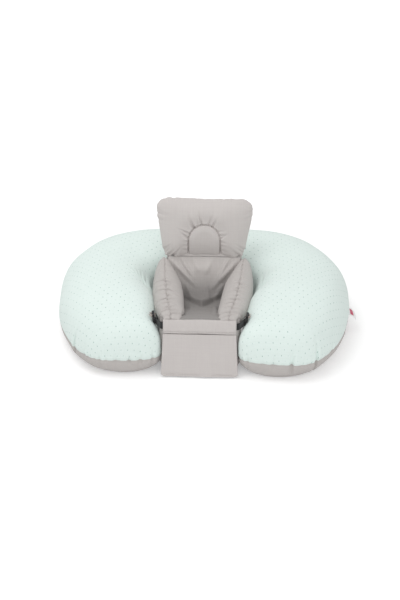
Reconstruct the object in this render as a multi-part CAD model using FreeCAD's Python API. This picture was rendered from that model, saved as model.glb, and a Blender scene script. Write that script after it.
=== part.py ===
import FreeCAD
import Part
import math
import os

from FreeCAD import Vector

os.makedirs("parts", exist_ok=True)

# Cushion: a stuffed horseshoe, the front at the ends of its two arms
cushion_width = 720.0
cushion_depth = 560.0
arm_width = 244.0
seam_height = 42.0
crown_rise = 120.0
belly_drop = 62.0
corner_offset = 89.0
arm_tip_offset = 210.0
arm_side_power = 1.75
mouth_width = 194.0
mouth_corner_length = 75.0
mouth_corner_power = 2.2

# Fabric, clearances and cutting
cover_wall = 1.6
filling_gap = 0.3
piece_gap = 0.2
body_gap = 0.5
overrun = 60.0

# Side label in the right-hand seam
label_from_front = 239.0
label_length = 18.5
label_width = 40.0
label_thickness = 1.2
label_droop = 60.0

# Zip in the rear seam
zip_flat_depth = 5.0
zip_flat_tilt = 6.0
zip_length = 150.0
zip_tape_height = 9.0
zip_tape_thickness = 1.2
zip_coil_height = 3.0
zip_coil_thickness = 2.2
zip_stop_length = 4.0
zip_slider_length = 11.0
zip_slider_height = 8.0
zip_slider_wall = 1.2
zip_pull_length = 20.0
zip_pull_width = 6.0
zip_pull_thickness = 1.6
zip_pin_radius = 0.9
zip_bail_rise = 2.4

# Seat insert: wedge with a sloping pan, a rounded crease and a curved back
seat_width = 180.0
pan_front_from_front = 50.0
pan_front_height = 128.0
pan_slope = 20.9
pan_length = 144.0
crease_radius = 70.0
crease_end_slope = 15.0
back_radius = 121.0
back_end_slope = 72.3
seat_panel_thickness = 3.0
seat_rear_from_front = 286.0
seat_rear_setback = 8.0

# Wings: stuffed bolsters along both sides of the seat
wing_front_from_front = 54.0
wing_back_from_front = 308.0
wing_crest_front = 131.0
wing_crest_back = 153.0
wing_crest_offset_front = 74.0
wing_crest_offset_back = 98.0
wing_inner_reach = 45.0
wing_outer_reach = 31.0
wing_half_depth = 37.0
wing_under_depth = 24.0

# Front flap and belt, laid out on one sloping plane
flap_slope = 17.1
flap_hinge_up = 101.5
flap_thickness = 5.0
flap_width_top = 166.0
flap_width_bottom = 176.0
flap_floor_gap = 3.0
flap_corner_radius = 14.0
casing_bottom_up = 104.6
casing_top_up = 136.0
casing_half_thickness = 6.0
casing_width = 166.0
casing_wall = 1.5
front_panel_setback = 6.6
webbing_width = 17.2
webbing_thickness = 1.4
webbing_overhang = 8.0
webbing_bend_radius = 12.0
webbing_turn = 78.0
webbing_tail = 18.0
hook_thickness = 5.0
hook_bar = 4.0
hook_clasp_length = 12.5
hook_clasp_border = 2.0
hook_throat_radius = 3.5
hook_neck = 2.0
hook_prong_length = 12.0
loop_band = 1.3
loop_height = 8.0
loop_opening = 8.0
loop_nose_gap = 1.3

# Headrest pad with an arched panel sewn into its front
headrest_lean = 19.0
headrest_height = 143.0
headrest_width_bottom = 194.0
headrest_width_top = 242.0
headrest_front_bulge = 29.0
headrest_back_bulge = 27.0
headrest_top_corner = 40.0
headrest_low_corner = 14.0
headrest_top_dip = 4.0
headrest_lip_thickness = 1.6
headrest_lip_rise = 2.8
arch_width = 79.0
arch_height = 77.0
arch_start_up = 5.0
arch_channel_width = 4.0
arch_channel_depth = 5.0

# Straight sides to each quarter of a rounded section, and to each bend of the headrest's outline
cushion_sides = 8
wing_sides = 7
hollow_sides = 4
outline_sides = 5

half_width = cushion_width / 2
half_seat = seat_width / 2
half_arm = arm_width / 2
spine_radius = half_width - half_arm - corner_offset
corner_from_front = cushion_depth - half_arm - spine_radius
quarter_share = math.sqrt(0.5)


def depth(from_front):
    """Y of a place measured back from the front edge."""
    return from_front - cushion_depth / 2


def box(x0, x1, y0, y1, z0, z1):
    return Part.makeBox(x1 - x0, y1 - y0, z1 - z0, Vector(x0, y0, z0))


def tilted(shape, degrees, pivot):
    """Turn a shape about a line along X through the pivot."""
    turned = shape.copy()
    turned.rotate(pivot, Vector(1, 0, 0), degrees)
    return turned


def between(start, end, share):
    return start + (end - start) * share


def mirrored(shape):
    return shape.mirror(Vector(0, 0, 0), Vector(1, 0, 0))


def polygon_prism(points, direction):
    wire = Part.makePolygon(points + [points[0]])
    return Part.Face(wire).extrude(direction)


def oval(middle, west, east, rise, drop, sides):
    """Closed upright section round a middle: four quarters, each of several straight sides."""
    points = []
    quarters = ((west, rise, 0), (east, rise, 1), (east, drop, 2), (west, drop, 3))
    for across, upright, quarter in quarters:
        for step in range(sides):
            angle = math.pi / 2 * (quarter + step / sides)
            points.append(middle + across * abs(math.cos(angle)) + upright * abs(math.sin(angle)))
    return Part.makePolygon(points + points[:1])


def flat_loft(wires):
    """Loft through sections of one shape, with each of its sides one flat face."""
    faces = []
    for side in Part.makeLoft(wires, True, True).Faces:
        corners = [vertex.Point for vertex in side.OuterWire.OrderedVertexes]
        faces.append(Part.Face(Part.makePolygon(corners + corners[:1])))
    shell = Part.makeShell(faces)
    shell.sewShape()
    return Part.makeSolid(shell)


def power_arc(share, power):
    """Height share of a rounded end at a share of its length from the tip."""
    return (1 - (1 - share) ** power) ** (1 / power)


# Stations of the horseshoe: shares of the way from arm tip to the rear corner, then turns round that corner
arm_station_shares = (0.004, 0.016, 0.038, 0.072, 0.12, 0.18, 0.26, 0.37, 0.53, 0.75)
corner_steps = 9
corner_turns = [math.pi / 2 * step / corner_steps for step in range(corner_steps + 1)]


def arm_edges(y, inset):
    """Inner and outer edge of an arm at a place back from the front."""
    outer_share = (y - inset) / (corner_from_front - inset)
    outer = arm_tip_offset + (half_width - arm_tip_offset - inset) * power_arc(outer_share, arm_side_power)
    mouth = mouth_width / 2 + inset
    if y < mouth_corner_length:
        corner_share = (y - inset) / (mouth_corner_length - inset)
        inner = arm_tip_offset - (arm_tip_offset - mouth) * power_arc(corner_share, mouth_corner_power)
    else:
        taper_share = (y - mouth_corner_length) / (corner_from_front - mouth_corner_length)
        inner = between(mouth, half_width - arm_width + inset, taper_share)
    return inner, outer


def cushion_stations(inset):
    """Middle, outward direction and size of every section of the right-hand half, all of one shape."""
    stations = []
    for share in arm_station_shares:
        y = between(inset, corner_from_front, share)
        inner, outer = arm_edges(y, inset)
        middle = Vector((inner + outer) / 2, depth(y), seam_height)
        stations.append((middle, Vector(1, 0, 0), (outer - inner) / arm_width))
    for turned in corner_turns:
        outward = Vector(math.cos(turned), math.sin(turned), 0)
        middle = Vector(corner_offset, depth(corner_from_front), seam_height) + outward * spine_radius
        stations.append((middle, outward, 1 - inset / half_arm))
    return stations


def cushion_body(inset, sides):
    """The horseshoe drawn in by an inset, flat on the floor and at the zip."""
    wires = []
    for middle, outward, size_share in cushion_stations(inset):
        across = outward * half_arm * size_share
        wires.append(oval(middle, across * -1, across, Vector(0, 0, crown_rise * size_share),
                          Vector(0, 0, -belly_drop * size_share), sides))
    wires.extend([mirrored(wire) for wire in wires[::-1]])
    body = flat_loft(wires)
    below = box(-cushion_width, cushion_width, -cushion_depth, cushion_depth, -cushion_depth, inset)
    return body.cut(below).cut(zip_side(inset))


zip_pivot = Vector(0, depth(cushion_depth) - zip_flat_depth, seam_height)


def zip_side(inset):
    """Everything behind the flat that the zip is set in."""
    block = box(-half_width, half_width, zip_pivot.y - inset, zip_pivot.y + overrun,
                zip_pivot.z - overrun, zip_pivot.z + overrun)
    return tilted(block, -zip_flat_tilt, zip_pivot)


def zip_box(x0, x1, out0, out1, up0, up1):
    """Box on the zip flat: along the zip, out of the flat and up it."""
    block = box(x0, x1, zip_pivot.y + out0, zip_pivot.y + out1, zip_pivot.z + up0, zip_pivot.z + up1)
    return tilted(block, -zip_flat_tilt, zip_pivot)


def seat_profile(drop):
    """Pan, crease and back as points of a line and two arcs, lowered by a drop."""
    pan = math.radians(pan_slope)
    rise = math.radians(crease_end_slope)
    end = math.radians(back_end_slope)
    start = (pan_front_from_front, pan_front_height)
    pan_end = (start[0] + pan_length * math.cos(pan), start[1] - pan_length * math.sin(pan))
    crease = (pan_end[0] + crease_radius * math.sin(pan), pan_end[1] + crease_radius * math.cos(pan))
    shift = crease_radius - back_radius
    back = (crease[0] + shift * math.sin(rise), crease[1] - shift * math.cos(rise))

    def on_arc(centre, radius, slope):
        return (centre[0] + (radius + drop) * math.sin(slope), centre[1] - (radius + drop) * math.cos(slope))

    line_start = (start[0] - drop * math.sin(pan), start[1] - drop * math.cos(pan))
    crease_points = [on_arc(crease, crease_radius, slope) for slope in (-pan, -pan / 2, 0, rise / 2, rise)]
    back_points = [on_arc(back, back_radius, slope) for slope in (rise, (rise + end) / 2, end)]
    return line_start, crease_points, back_points


def side_point(pair, x):
    return Vector(x, depth(pair[0]), pair[1])


def profile_edges(drop, x, first, last):
    """Edges of the seat profile between two of its joints: pan, half crease, half crease, back."""
    line_start, crease, back = seat_profile(drop)
    stretches = ((line_start, None, crease[0]), (crease[0], crease[1], crease[2]),
                 (crease[2], crease[3], crease[4]), (back[0], back[1], back[2]))
    edges = []
    for start, middle, end in stretches[first:last]:
        if middle is None:
            edges.append(Part.makeLine(side_point(start, x), side_point(end, x)))
        else:
            edges.append(Part.Arc(side_point(start, x), side_point(middle, x), side_point(end, x)).toShape())
    return edges


def closed_prism(edges, tail_points, length):
    """Prism along X over open edges closed by straight sides through the tail points."""
    first = edges[0].Vertexes[0].Point
    last = edges[-1].Vertexes[-1].Point
    corners = [last] + tail_points + [first]
    sides = [Part.makeLine(a, b) for a, b in zip(corners, corners[1:])]
    wire = Part.Wire(edges + sides)
    return Part.Face(wire).extrude(Vector(length, 0, 0))


def panel_strip(first, last, x0, x1):
    """Panel of the pan or back, one panel thickness deep."""
    upper = profile_edges(0, x0, first, last)
    lower = profile_edges(seat_panel_thickness, x0, first, last)
    ends = [Part.makeLine(upper[0].Vertexes[0].Point, lower[0].Vertexes[0].Point),
            Part.makeLine(upper[-1].Vertexes[-1].Point, lower[-1].Vertexes[-1].Point)]
    wire = Part.Wire(Part.__sortEdges__(upper + lower + ends))
    return Part.Face(wire).extrude(Vector(x1 - x0, 0, 0))


flap_pivot = Vector(0, depth(0), 0)


def on_slope(shape):
    """Lay a shape built upright over the front edge back onto the sloping plane of the flap."""
    return tilted(shape, -flap_slope, flap_pivot)


def slope_point(back, up):
    slope = math.radians(flap_slope)
    return (back * math.cos(slope) + up * math.sin(slope), up * math.cos(slope) - back * math.sin(slope))


def seat_outline(inset, drop, x):
    """Edges and tail points of the wedge seen from the side, drawn in by an inset."""
    edges = profile_edges(drop, x, 0, 4)
    back_top = seat_profile(0)[2][2]
    rear_top = (back_top[0] + seat_rear_setback - inset, seat_profile(drop)[2][2][1])
    rear_foot = (seat_rear_from_front - inset, inset)
    front_back = front_panel_setback + inset
    slope = math.radians(flap_slope)
    foot_up = (inset + front_back * math.sin(slope)) / math.cos(slope)
    front_foot = slope_point(front_back, foot_up)
    line_start = seat_profile(drop)[0]
    top_up = (line_start[1] + front_back * math.sin(slope)) / math.cos(slope)
    front_top = slope_point(front_back, top_up)
    return edges, [side_point(pair, x) for pair in (rear_top, rear_foot, front_foot, front_top)]


def seat_wedge(inset, drop, x0, x1):
    edges, tail = seat_outline(inset, drop, x0)
    return closed_prism(edges, tail, x1 - x0)


# Wings: share of the way back, of the crest's rise, of the crest's spread, and size of the section
wing_station_shares = (
    (0.00, -0.16, 0.00, 0.34),
    (0.03, 0.00, 0.03, 0.50),
    (0.09, 0.10, 0.12, 0.64),
    (0.19, 0.20, 0.28, 0.76),
    (0.36, 0.33, 0.49, 0.89),
    (0.56, 0.45, 0.72, 1.00),
    (0.72, 0.59, 0.85, 0.96),
    (0.84, 0.74, 0.93, 0.76),
    (0.94, 0.89, 0.98, 0.46),
    (1.00, 1.00, 1.00, 0.14),
)


def wing_body(inset, sides):
    """Stuffed bolster on the right-hand side, drawn in by an inset."""
    wires = []
    for along, height, spread, size_share in wing_station_shares:
        y = depth(between(wing_front_from_front + inset, wing_back_from_front - inset, along))
        crest_x = between(wing_crest_offset_front, wing_crest_offset_back, spread)
        middle_z = between(wing_crest_front, wing_crest_back, height) - wing_half_depth * size_share
        drawn_share = size_share - inset / wing_outer_reach
        wires.append(oval(Vector(crest_x, y, middle_z), Vector(-wing_inner_reach * drawn_share, 0, 0),
                          Vector(wing_outer_reach * drawn_share, 0, 0),
                          Vector(0, 0, wing_half_depth * drawn_share),
                          Vector(0, 0, -wing_under_depth * drawn_share), sides))
    return flat_loft(wires)


def wing_inner_side():
    """Everything on the seat side of the crest seam."""
    plan = []
    for along, height, spread, size_share in wing_station_shares:
        y = depth(between(wing_front_from_front, wing_back_from_front, along))
        plan.append(Vector(between(wing_crest_offset_front, wing_crest_offset_back, spread), y, 0))
    first = Vector(plan[0].x, plan[0].y - overrun, 0)
    last = Vector(plan[-1].x, plan[-1].y + overrun, 0)
    ends = [Vector(0, last.y, 0), Vector(0, first.y, 0)]
    return polygon_prism([first] + plan + [last] + ends, Vector(0, 0, cushion_depth))


def headrest_pivot():
    """Middle of the round lower edge of the seam lip, just clear of the back panel's top edge."""
    top = seat_profile(seat_panel_thickness / 2)[2][2]
    slope = math.radians(back_end_slope)
    lift = headrest_lip_thickness / 2 + filling_gap
    return Vector(0, depth(top[0] + lift * math.cos(slope)), top[1] + lift * math.sin(slope))


def rounded_corner(before, corner, after, radius):
    """Points round a corner that starts and ends one radius away from it."""
    start = corner + (before - corner).normalize() * radius
    end = corner + (after - corner).normalize() * radius
    pull = corner * 2 - start - end
    middle = (start + end) * 0.5 + pull * ((1 - quarter_share) / 2)
    arc = Part.Arc(start, middle, end)
    return arc.toShape().discretize(outline_sides + 1)


def headrest_outline():
    """Points of the pad's outline, wider at the top, round its middle height."""
    low = headrest_width_bottom / 2
    high = headrest_width_top / 2
    half = headrest_height / 2
    corners = [Vector(-low, 0, -half), Vector(low, 0, -half), Vector(high, 0, half), Vector(-high, 0, half)]
    radii = (headrest_low_corner, headrest_low_corner, headrest_top_corner, headrest_top_corner)
    points = []
    for index, corner in enumerate(corners):
        points.extend(rounded_corner(corners[index - 1], corner, corners[(index + 1) % 4], radii[index]))
        if index == 2:
            points.append(Vector(0, 0, half - headrest_top_dip))
    return points


# Layers of the headrest from its seam to the middle of a face: size of the outline in each
headrest_layer_shares = (1.0, 0.985, 0.95, 0.89, 0.80, 0.68, 0.52, 0.32)
headrest_size_power = 2.4
headrest_bulge_power = 1.6


def headrest_body(inset):
    """Upright pad over the origin, drawn in by an inset: one outline growing smaller from the seam."""
    layers = []
    for side, bulge in ((1, headrest_back_bulge), (-1, headrest_front_bulge)):
        for size_share in headrest_layer_shares:
            away_share = (1 - size_share ** headrest_size_power) ** (1 / headrest_bulge_power)
            layers.append((side * (bulge - inset) * away_share, size_share - 2 * inset / headrest_height))
    wires = []
    for away, size_share in sorted(set(layers)):
        middle = Vector(0, away, headrest_height / 2)
        points = [middle + point * size_share for point in headrest_outline()]
        wires.append(Part.makePolygon(points + points[:1]))
    return flat_loft(wires)


def arch_prism(grow, foot):
    """Arch through the front half of the pad from a foot height up, grown outward all round."""
    radius = arch_width / 2 + grow
    spring = arch_height - arch_width / 2
    lean = radius * quarter_share
    points = [Vector(-radius, 0, foot), Vector(-radius, 0, spring), Vector(-lean, 0, spring + lean),
              Vector(0, 0, spring + radius), Vector(lean, 0, spring + lean), Vector(radius, 0, spring),
              Vector(radius, 0, foot)]
    edges = [Part.makeLine(points[0], points[1]),
             Part.Arc(points[1], points[2], points[3]).toShape(),
             Part.Arc(points[3], points[4], points[5]).toShape(),
             Part.makeLine(points[5], points[6]),
             Part.makeLine(points[6], points[0])]
    return Part.Face(Part.Wire(edges)).extrude(Vector(0, -overrun, 0))


def headrest_channelled(inset):
    """The pad with its sewn channel along the arch, drawn in by an inset."""
    reach = arch_channel_width / 2 + inset
    ring = arch_prism(reach, arch_start_up - inset).cut(arch_prism(-reach, -overrun))
    sunk = headrest_body(arch_channel_depth + inset)
    return headrest_body(inset).cut(ring.cut(sunk))


def leaned(shape):
    """Stand a pad shape on the seam of the headrest, leaning back."""
    moved = shape.copy()
    moved.translate(headrest_pivot() + Vector(0, -headrest_lip_thickness / 2, headrest_lip_rise))
    return tilted(moved, -headrest_lean, headrest_pivot())


def seam_lip():
    """Lip of the back panel under the pad's lower seam, its round edge the line that the pad folds on."""
    half = headrest_width_bottom / 2 - headrest_low_corner
    radius = headrest_lip_thickness / 2
    sheet = box(-half, half, 0, headrest_lip_thickness, -headrest_lip_rise, cover_wall - filling_gap)
    edge = Part.makeCylinder(radius, 2 * half, Vector(-half, radius, -headrest_lip_rise), Vector(1, 0, 0))
    return sheet.fuse(edge)


parts = {}

# Cushion covers and filling
cushion_outer = cushion_body(0, cushion_sides)
cushion_shell = cushion_outer.cut(cushion_body(cover_wall, hollow_sides))
above_seam = box(-cushion_width, cushion_width, -cushion_depth, cushion_depth, seam_height, cushion_depth)
zip_half = zip_length / 2
zip_window_up = zip_tape_height + zip_coil_height / 2 + piece_gap
zip_window = zip_box(-zip_half - piece_gap, zip_half + piece_gap, -cover_wall * 2, overrun,
                     -zip_window_up, zip_window_up)
parts["cushion_top_cover"] = cushion_shell.common(above_seam).cut(zip_window)
parts["cushion_base_cover"] = cushion_shell.cut(above_seam).cut(zip_window)
parts["cushion_filling"] = cushion_body(cover_wall + filling_gap, hollow_sides)

# Zip: two tapes, the coil between them, end stops, slider and pull
tape_inner = -cover_wall
tape_outer = tape_inner + zip_tape_thickness
coil_half = zip_coil_height / 2
stop_inner = zip_half - zip_stop_length
parts["zip_tape_upper"] = zip_box(-zip_half, zip_half, tape_inner, tape_outer,
                                  coil_half, coil_half + zip_tape_height)
parts["zip_tape_lower"] = zip_box(-zip_half, zip_half, tape_inner, tape_outer,
                                  -coil_half - zip_tape_height, -coil_half)
coil_outer = tape_inner + zip_coil_thickness
parts["zip_coil"] = zip_box(-stop_inner, stop_inner, tape_inner, coil_outer, -coil_half, coil_half)
parts["zip_stop_right"] = zip_box(stop_inner, zip_half, tape_inner, coil_outer, -coil_half, coil_half)
parts["zip_stop_left"] = zip_box(-zip_half, -stop_inner, tape_inner, coil_outer, -coil_half, coil_half)
slider_x = -stop_inner + body_gap
slider_end = slider_x + zip_slider_length
slider_inner = coil_outer + body_gap
slider_outer = slider_inner + zip_slider_wall
slider_half = zip_slider_height / 2
slider_body = zip_box(slider_x, slider_end, slider_inner, slider_outer, -slider_half, slider_half)
slider_sides = [zip_box(slider_x, slider_end, tape_outer + body_gap, slider_outer, low, low + zip_slider_wall)
                for low in (-slider_half, slider_half - zip_slider_wall)]
bail_x = (slider_x + slider_end) / 2
bail_out = slider_outer + zip_bail_rise
bail_half = zip_pull_width / 2
lug = zip_pin_radius * 2
lugs = [zip_box(bail_x - lug, bail_x + lug, slider_outer - zip_slider_wall, bail_out + lug, low, low + lug / 2)
        for low in (-bail_half + piece_gap, bail_half - piece_gap - lug / 2)]
pin_base = Vector(bail_x, zip_pivot.y + bail_out, zip_pivot.z - bail_half + piece_gap)
pin_length = zip_pull_width - 2 * piece_gap
pin = tilted(Part.makeCylinder(zip_pin_radius, pin_length, pin_base, Vector(0, 0, 1)), -zip_flat_tilt, zip_pivot)
parts["zip_slider"] = slider_body.fuse(slider_sides + lugs + [pin]).removeSplitter()
ring_half = pin_length / 2 - lug / 2 - piece_gap
ring_base = Vector(bail_x, zip_pivot.y + bail_out, zip_pivot.z - ring_half)
ring_radius = zip_pin_radius + piece_gap + zip_slider_wall
ring = Part.makeCylinder(ring_radius, 2 * ring_half, ring_base, Vector(0, 0, 1))
tab = box(bail_x, bail_x + zip_pull_length, zip_pivot.y + bail_out - zip_pull_thickness / 2,
          zip_pivot.y + bail_out + zip_pull_thickness / 2, zip_pivot.z - ring_half, zip_pivot.z + ring_half)
bore = Part.makeCylinder(zip_pin_radius + piece_gap, 4 * ring_half,
                         ring_base - Vector(0, 0, ring_half), Vector(0, 0, 1))
parts["zip_pull"] = tilted(ring.fuse(tab).cut(bore).removeSplitter(), -zip_flat_tilt, zip_pivot)

# Side label, folded out of the right-hand seam
label_edge = arm_edges(label_from_front, 0)[1]
label_root = Vector(label_edge - label_length / 2, depth(label_from_front) - label_width / 2, seam_height)
label = Part.makeBox(label_length * 1.5, label_width, label_thickness,
                     label_root - Vector(0, 0, label_thickness / 2))
label.rotate(Vector(label_edge, 0, seam_height), Vector(0, 1, 0), label_droop)
parts["side_label"] = label.cut(cushion_outer)

# Seat wedge: panels, cover and core
parts["seat_panel"] = panel_strip(0, 2, -half_seat, half_seat)
parts["back_panel"] = panel_strip(2, 4, -half_seat, half_seat)
wedge = seat_wedge(0, seat_panel_thickness, -half_seat, half_seat)
wedge_skin = wedge.cut(seat_wedge(cover_wall, 0, -half_seat, half_seat))
floor_slab = box(-half_seat, half_seat, -cushion_depth, cushion_depth, 0, cover_wall)
front_zone = box(-half_seat, half_seat, -cushion_depth, depth(pan_front_from_front), cover_wall, cushion_depth)
rear_zone = box(-half_seat, half_seat, depth(pan_front_from_front), cushion_depth, cover_wall, cushion_depth)
parts["seat_bottom"] = wedge_skin.common(floor_slab)
parts["seat_front_panel"] = wedge_skin.common(front_zone)
parts["seat_rear_panel"] = wedge_skin.common(rear_zone)
parts["seat_core"] = seat_wedge(cover_wall + filling_gap, seat_panel_thickness + piece_gap,
                                -half_seat, half_seat)
parts["gusset_right"] = seat_wedge(0, 0, half_seat, half_seat + cover_wall)

# Wings stand on the seat panels
under_seat = seat_wedge(-overrun, 0, -half_seat - cover_wall, half_seat + cover_wall)
wing_shell = wing_body(0, wing_sides).cut(wing_body(cover_wall, hollow_sides)).cut(under_seat)
seat_side = wing_inner_side()
parts["wing_right_inner"] = wing_shell.common(seat_side)
parts["wing_right_outer"] = wing_shell.cut(seat_side)
parts["wing_right_filling"] = wing_body(cover_wall + filling_gap, hollow_sides).cut(under_seat)

# Belt casing: a flattened tube, open at both ends
casing_middle = (casing_bottom_up + casing_top_up) / 2


def casing_tube(inset, width):
    across = Vector(0, casing_half_thickness - inset, 0)
    upright = Vector(0, 0, casing_top_up - casing_middle - inset)
    section = oval(Vector(-width / 2, depth(0), casing_middle), across * -1, across, upright, upright * -1,
                   wing_sides)
    return Part.Face(section).extrude(Vector(width, 0, 0))


parts["belt_casing"] = on_slope(casing_tube(0, casing_width).cut(casing_tube(casing_wall, casing_width)))


casing_place = slope_point(0, casing_middle)
webbing_low = casing_place[1] - webbing_width / 2
bend_x = casing_width / 2 + webbing_overhang
bend_centre = Vector(bend_x, depth(casing_place[0]) + webbing_bend_radius, webbing_low)
turn = math.radians(webbing_turn)
tail_direction = Vector(math.cos(turn), math.sin(turn), 0)
tail_side = Vector(math.sin(turn), -math.cos(turn), 0)
tail_end = bend_centre + tail_side * webbing_bend_radius + tail_direction * webbing_tail


def webbing_side(offset):
    """Right-hand half of one face of the webbing, from the end of the run across to the tail's end."""
    radius = webbing_bend_radius + offset
    half_turn = Vector(math.sin(turn / 2), -math.cos(turn / 2), 0)
    straight = bend_centre - Vector(0, radius, 0)
    bend_end = bend_centre + tail_side * radius
    return [Part.Arc(straight, bend_centre + half_turn * radius, bend_end).toShape(),
            Part.makeLine(bend_end, bend_end + tail_direction * webbing_tail)]


def webbing():
    """Flat webbing across the casing, its two tails turned back along the seat."""
    half = webbing_thickness / 2
    right = webbing_side(half) + webbing_side(-half)
    left = [mirrored(edge) for edge in right]
    across = [Part.makeLine(Vector(-bend_x, bend_centre.y - webbing_bend_radius + side, webbing_low),
                            Vector(bend_x, bend_centre.y - webbing_bend_radius + side, webbing_low))
              for side in (-half, half)]
    ends = [Part.makeLine(tail_end - tail_side * half, tail_end + tail_side * half)]
    ends.append(mirrored(ends[0]))
    wire = Part.Wire(Part.__sortEdges__(right + left + across + ends))
    return Part.Face(wire).extrude(Vector(0, 0, webbing_width))


parts["belt_webbing"] = webbing()

# Strap hook: a clasp on the webbing's tail and a hook that drops into the loop
clasp_half = webbing_width / 2 + hook_clasp_border
throat_up = clasp_half + hook_neck
leg_in = hook_clasp_border
prong_in = leg_in + 2 * hook_throat_radius
prong_out = prong_in + hook_bar
arch_along = leg_in + hook_throat_radius
prong_low = throat_up - hook_prong_length


def hook_place(along, up):
    """Place on the middle plane of the hook, from the webbing's end."""
    return tail_end + tail_direction * along + Vector(0, 0, webbing_width / 2 + up)


def hook_arc(start, middle, end):
    return Part.Arc(hook_place(*start), hook_place(*middle), hook_place(*end)).toShape()


def hook_line(start, end):
    return Part.makeLine(hook_place(*start), hook_place(*end))


def strap_hook():
    foot = (leg_in - hook_clasp_length, -clasp_half)
    heel = (leg_in, -clasp_half)
    throat_start = (leg_in, throat_up)
    throat_end = (prong_in, throat_up)
    tip_in = (prong_in, prong_low)
    tip_out = (prong_out, prong_low)
    crown_end = (prong_out, throat_up)
    crown_start = (leg_in - hook_bar, throat_up)
    shoulder = (leg_in - hook_bar, clasp_half)
    head = (leg_in - hook_clasp_length, clasp_half)
    edges = [hook_line(foot, heel), hook_line(heel, throat_start),
             hook_arc(throat_start, (arch_along, throat_up + hook_throat_radius), throat_end),
             hook_line(throat_end, tip_in),
             hook_arc(tip_in, (prong_in + hook_bar / 2, prong_low - hook_bar / 2), tip_out),
             hook_line(tip_out, crown_end),
             hook_arc(crown_end, (arch_along, throat_up + hook_throat_radius + hook_bar), crown_start),
             hook_line(crown_start, shoulder), hook_line(shoulder, head), hook_line(head, foot)]
    plate = Part.Face(Part.Wire(edges)).extrude(tail_side * hook_thickness)
    plate.translate(tail_side * (-hook_thickness / 2))
    return plate.cut(parts["belt_webbing"])


parts["strap_hook_right"] = strap_hook()

# Strap loop: a band sewn to the arm, open upward round the prong
prong_place = hook_place(prong_in + hook_bar / 2, prong_low + hook_prong_length / 2)
loop_low = prong_place.z - loop_height / 2
loop_nose = prong_place.x - hook_thickness / 2 - loop_nose_gap - loop_band


def loop_solid(inset):
    """Tongue with a round nose reaching from the arm past the prong."""
    half = loop_opening / 2 + loop_band - inset
    nose = loop_nose + inset
    start = nose + half
    bend = half * (1 - quarter_share)
    lean = half * quarter_share
    far = start + overrun
    y = prong_place.y
    edges = [Part.makeLine(Vector(far, y - half, loop_low), Vector(start, y - half, loop_low)),
             Part.Arc(Vector(start, y - half, loop_low), Vector(nose + bend, y - lean, loop_low),
                      Vector(nose, y, loop_low)).toShape(),
             Part.Arc(Vector(nose, y, loop_low), Vector(nose + bend, y + lean, loop_low),
                      Vector(start, y + half, loop_low)).toShape(),
             Part.makeLine(Vector(start, y + half, loop_low), Vector(far, y + half, loop_low)),
             Part.makeLine(Vector(far, y + half, loop_low), Vector(far, y - half, loop_low))]
    return Part.Face(Part.Wire(edges)).extrude(Vector(0, 0, loop_height))


arm_side = box(0, loop_nose + overrun, -cushion_depth, cushion_depth, 0, cushion_depth)
loop_band_solid = loop_solid(0).cut(loop_solid(loop_band)).cut(cushion_outer).common(arm_side)
parts["strap_loop_right"] = loop_band_solid

# Front flap: two layers on the hinge line under the casing
flap_half_thickness = flap_thickness / 2


def flap_layer(side):
    """Front layer for side -1, rear layer for side 1."""
    top = flap_width_top / 2
    low = flap_width_bottom / 2
    corner = flap_corner_radius
    bend = corner * (1 - quarter_share)
    low_up = flap_floor_gap
    points = [Vector(-top, 0, flap_hinge_up), Vector(top, 0, flap_hinge_up), Vector(low, 0, low_up + corner),
              Vector(low - bend, 0, low_up + bend), Vector(low - corner, 0, low_up),
              Vector(-low + corner, 0, low_up), Vector(-low + bend, 0, low_up + bend),
              Vector(-low, 0, low_up + corner)]
    edges = [Part.makeLine(points[0], points[1]), Part.makeLine(points[1], points[2]),
             Part.Arc(points[2], points[3], points[4]).toShape(), Part.makeLine(points[4], points[5]),
             Part.Arc(points[5], points[6], points[7]).toShape(), Part.makeLine(points[7], points[0])]
    sheet = Part.Face(Part.Wire(edges)).extrude(Vector(0, side * flap_half_thickness, 0))
    roll = Part.makeCylinder(flap_half_thickness, flap_width_top, Vector(-top, 0, flap_hinge_up), Vector(1, 0, 0))
    half_roll = roll.common(box(-top, top, min(0, side * flap_thickness), max(0, side * flap_thickness),
                                flap_hinge_up - flap_thickness, flap_hinge_up + flap_thickness))
    layer = sheet.fuse(half_roll).removeSplitter()
    layer.translate(Vector(0, depth(0), 0))
    return on_slope(layer)


parts["flap_face"] = flap_layer(-1)
parts["flap_lining"] = flap_layer(1)

# Headrest: front and back panels, arched neck panel and filling
pad_outer = headrest_channelled(0)
pad_shell = pad_outer.cut(headrest_channelled(cover_wall))
front_half = box(-half_width, half_width, -overrun, 0, -overrun, headrest_height + overrun)
arch = arch_prism(-arch_channel_width / 2, -overrun)
arch_hole = arch_prism(-arch_channel_width / 2 + piece_gap, -overrun)
front_shell = pad_shell.common(front_half)
parts["headrest_front"] = leaned(front_shell.cut(arch_hole))
parts["neck_panel"] = leaned(front_shell.common(arch))
parts["headrest_back"] = leaned(pad_shell.cut(front_half).fuse(seam_lip()).removeSplitter())
parts["headrest_filling"] = leaned(headrest_channelled(cover_wall + filling_gap))

# Left-hand twins
for name in ("gusset_right", "wing_right_inner", "wing_right_outer", "wing_right_filling",
             "strap_hook_right", "strap_loop_right"):
    parts[name.replace("right", "left")] = mirrored(parts[name])

for name, shape in sorted(parts.items()):
    shape.exportStep("parts/" + name + ".step")
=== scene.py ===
# Baby sitting cushion: covers, pads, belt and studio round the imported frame
import math

import bmesh
import bpy
import numpy as np
from mathutils import Matrix, Vector, kdtree


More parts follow.
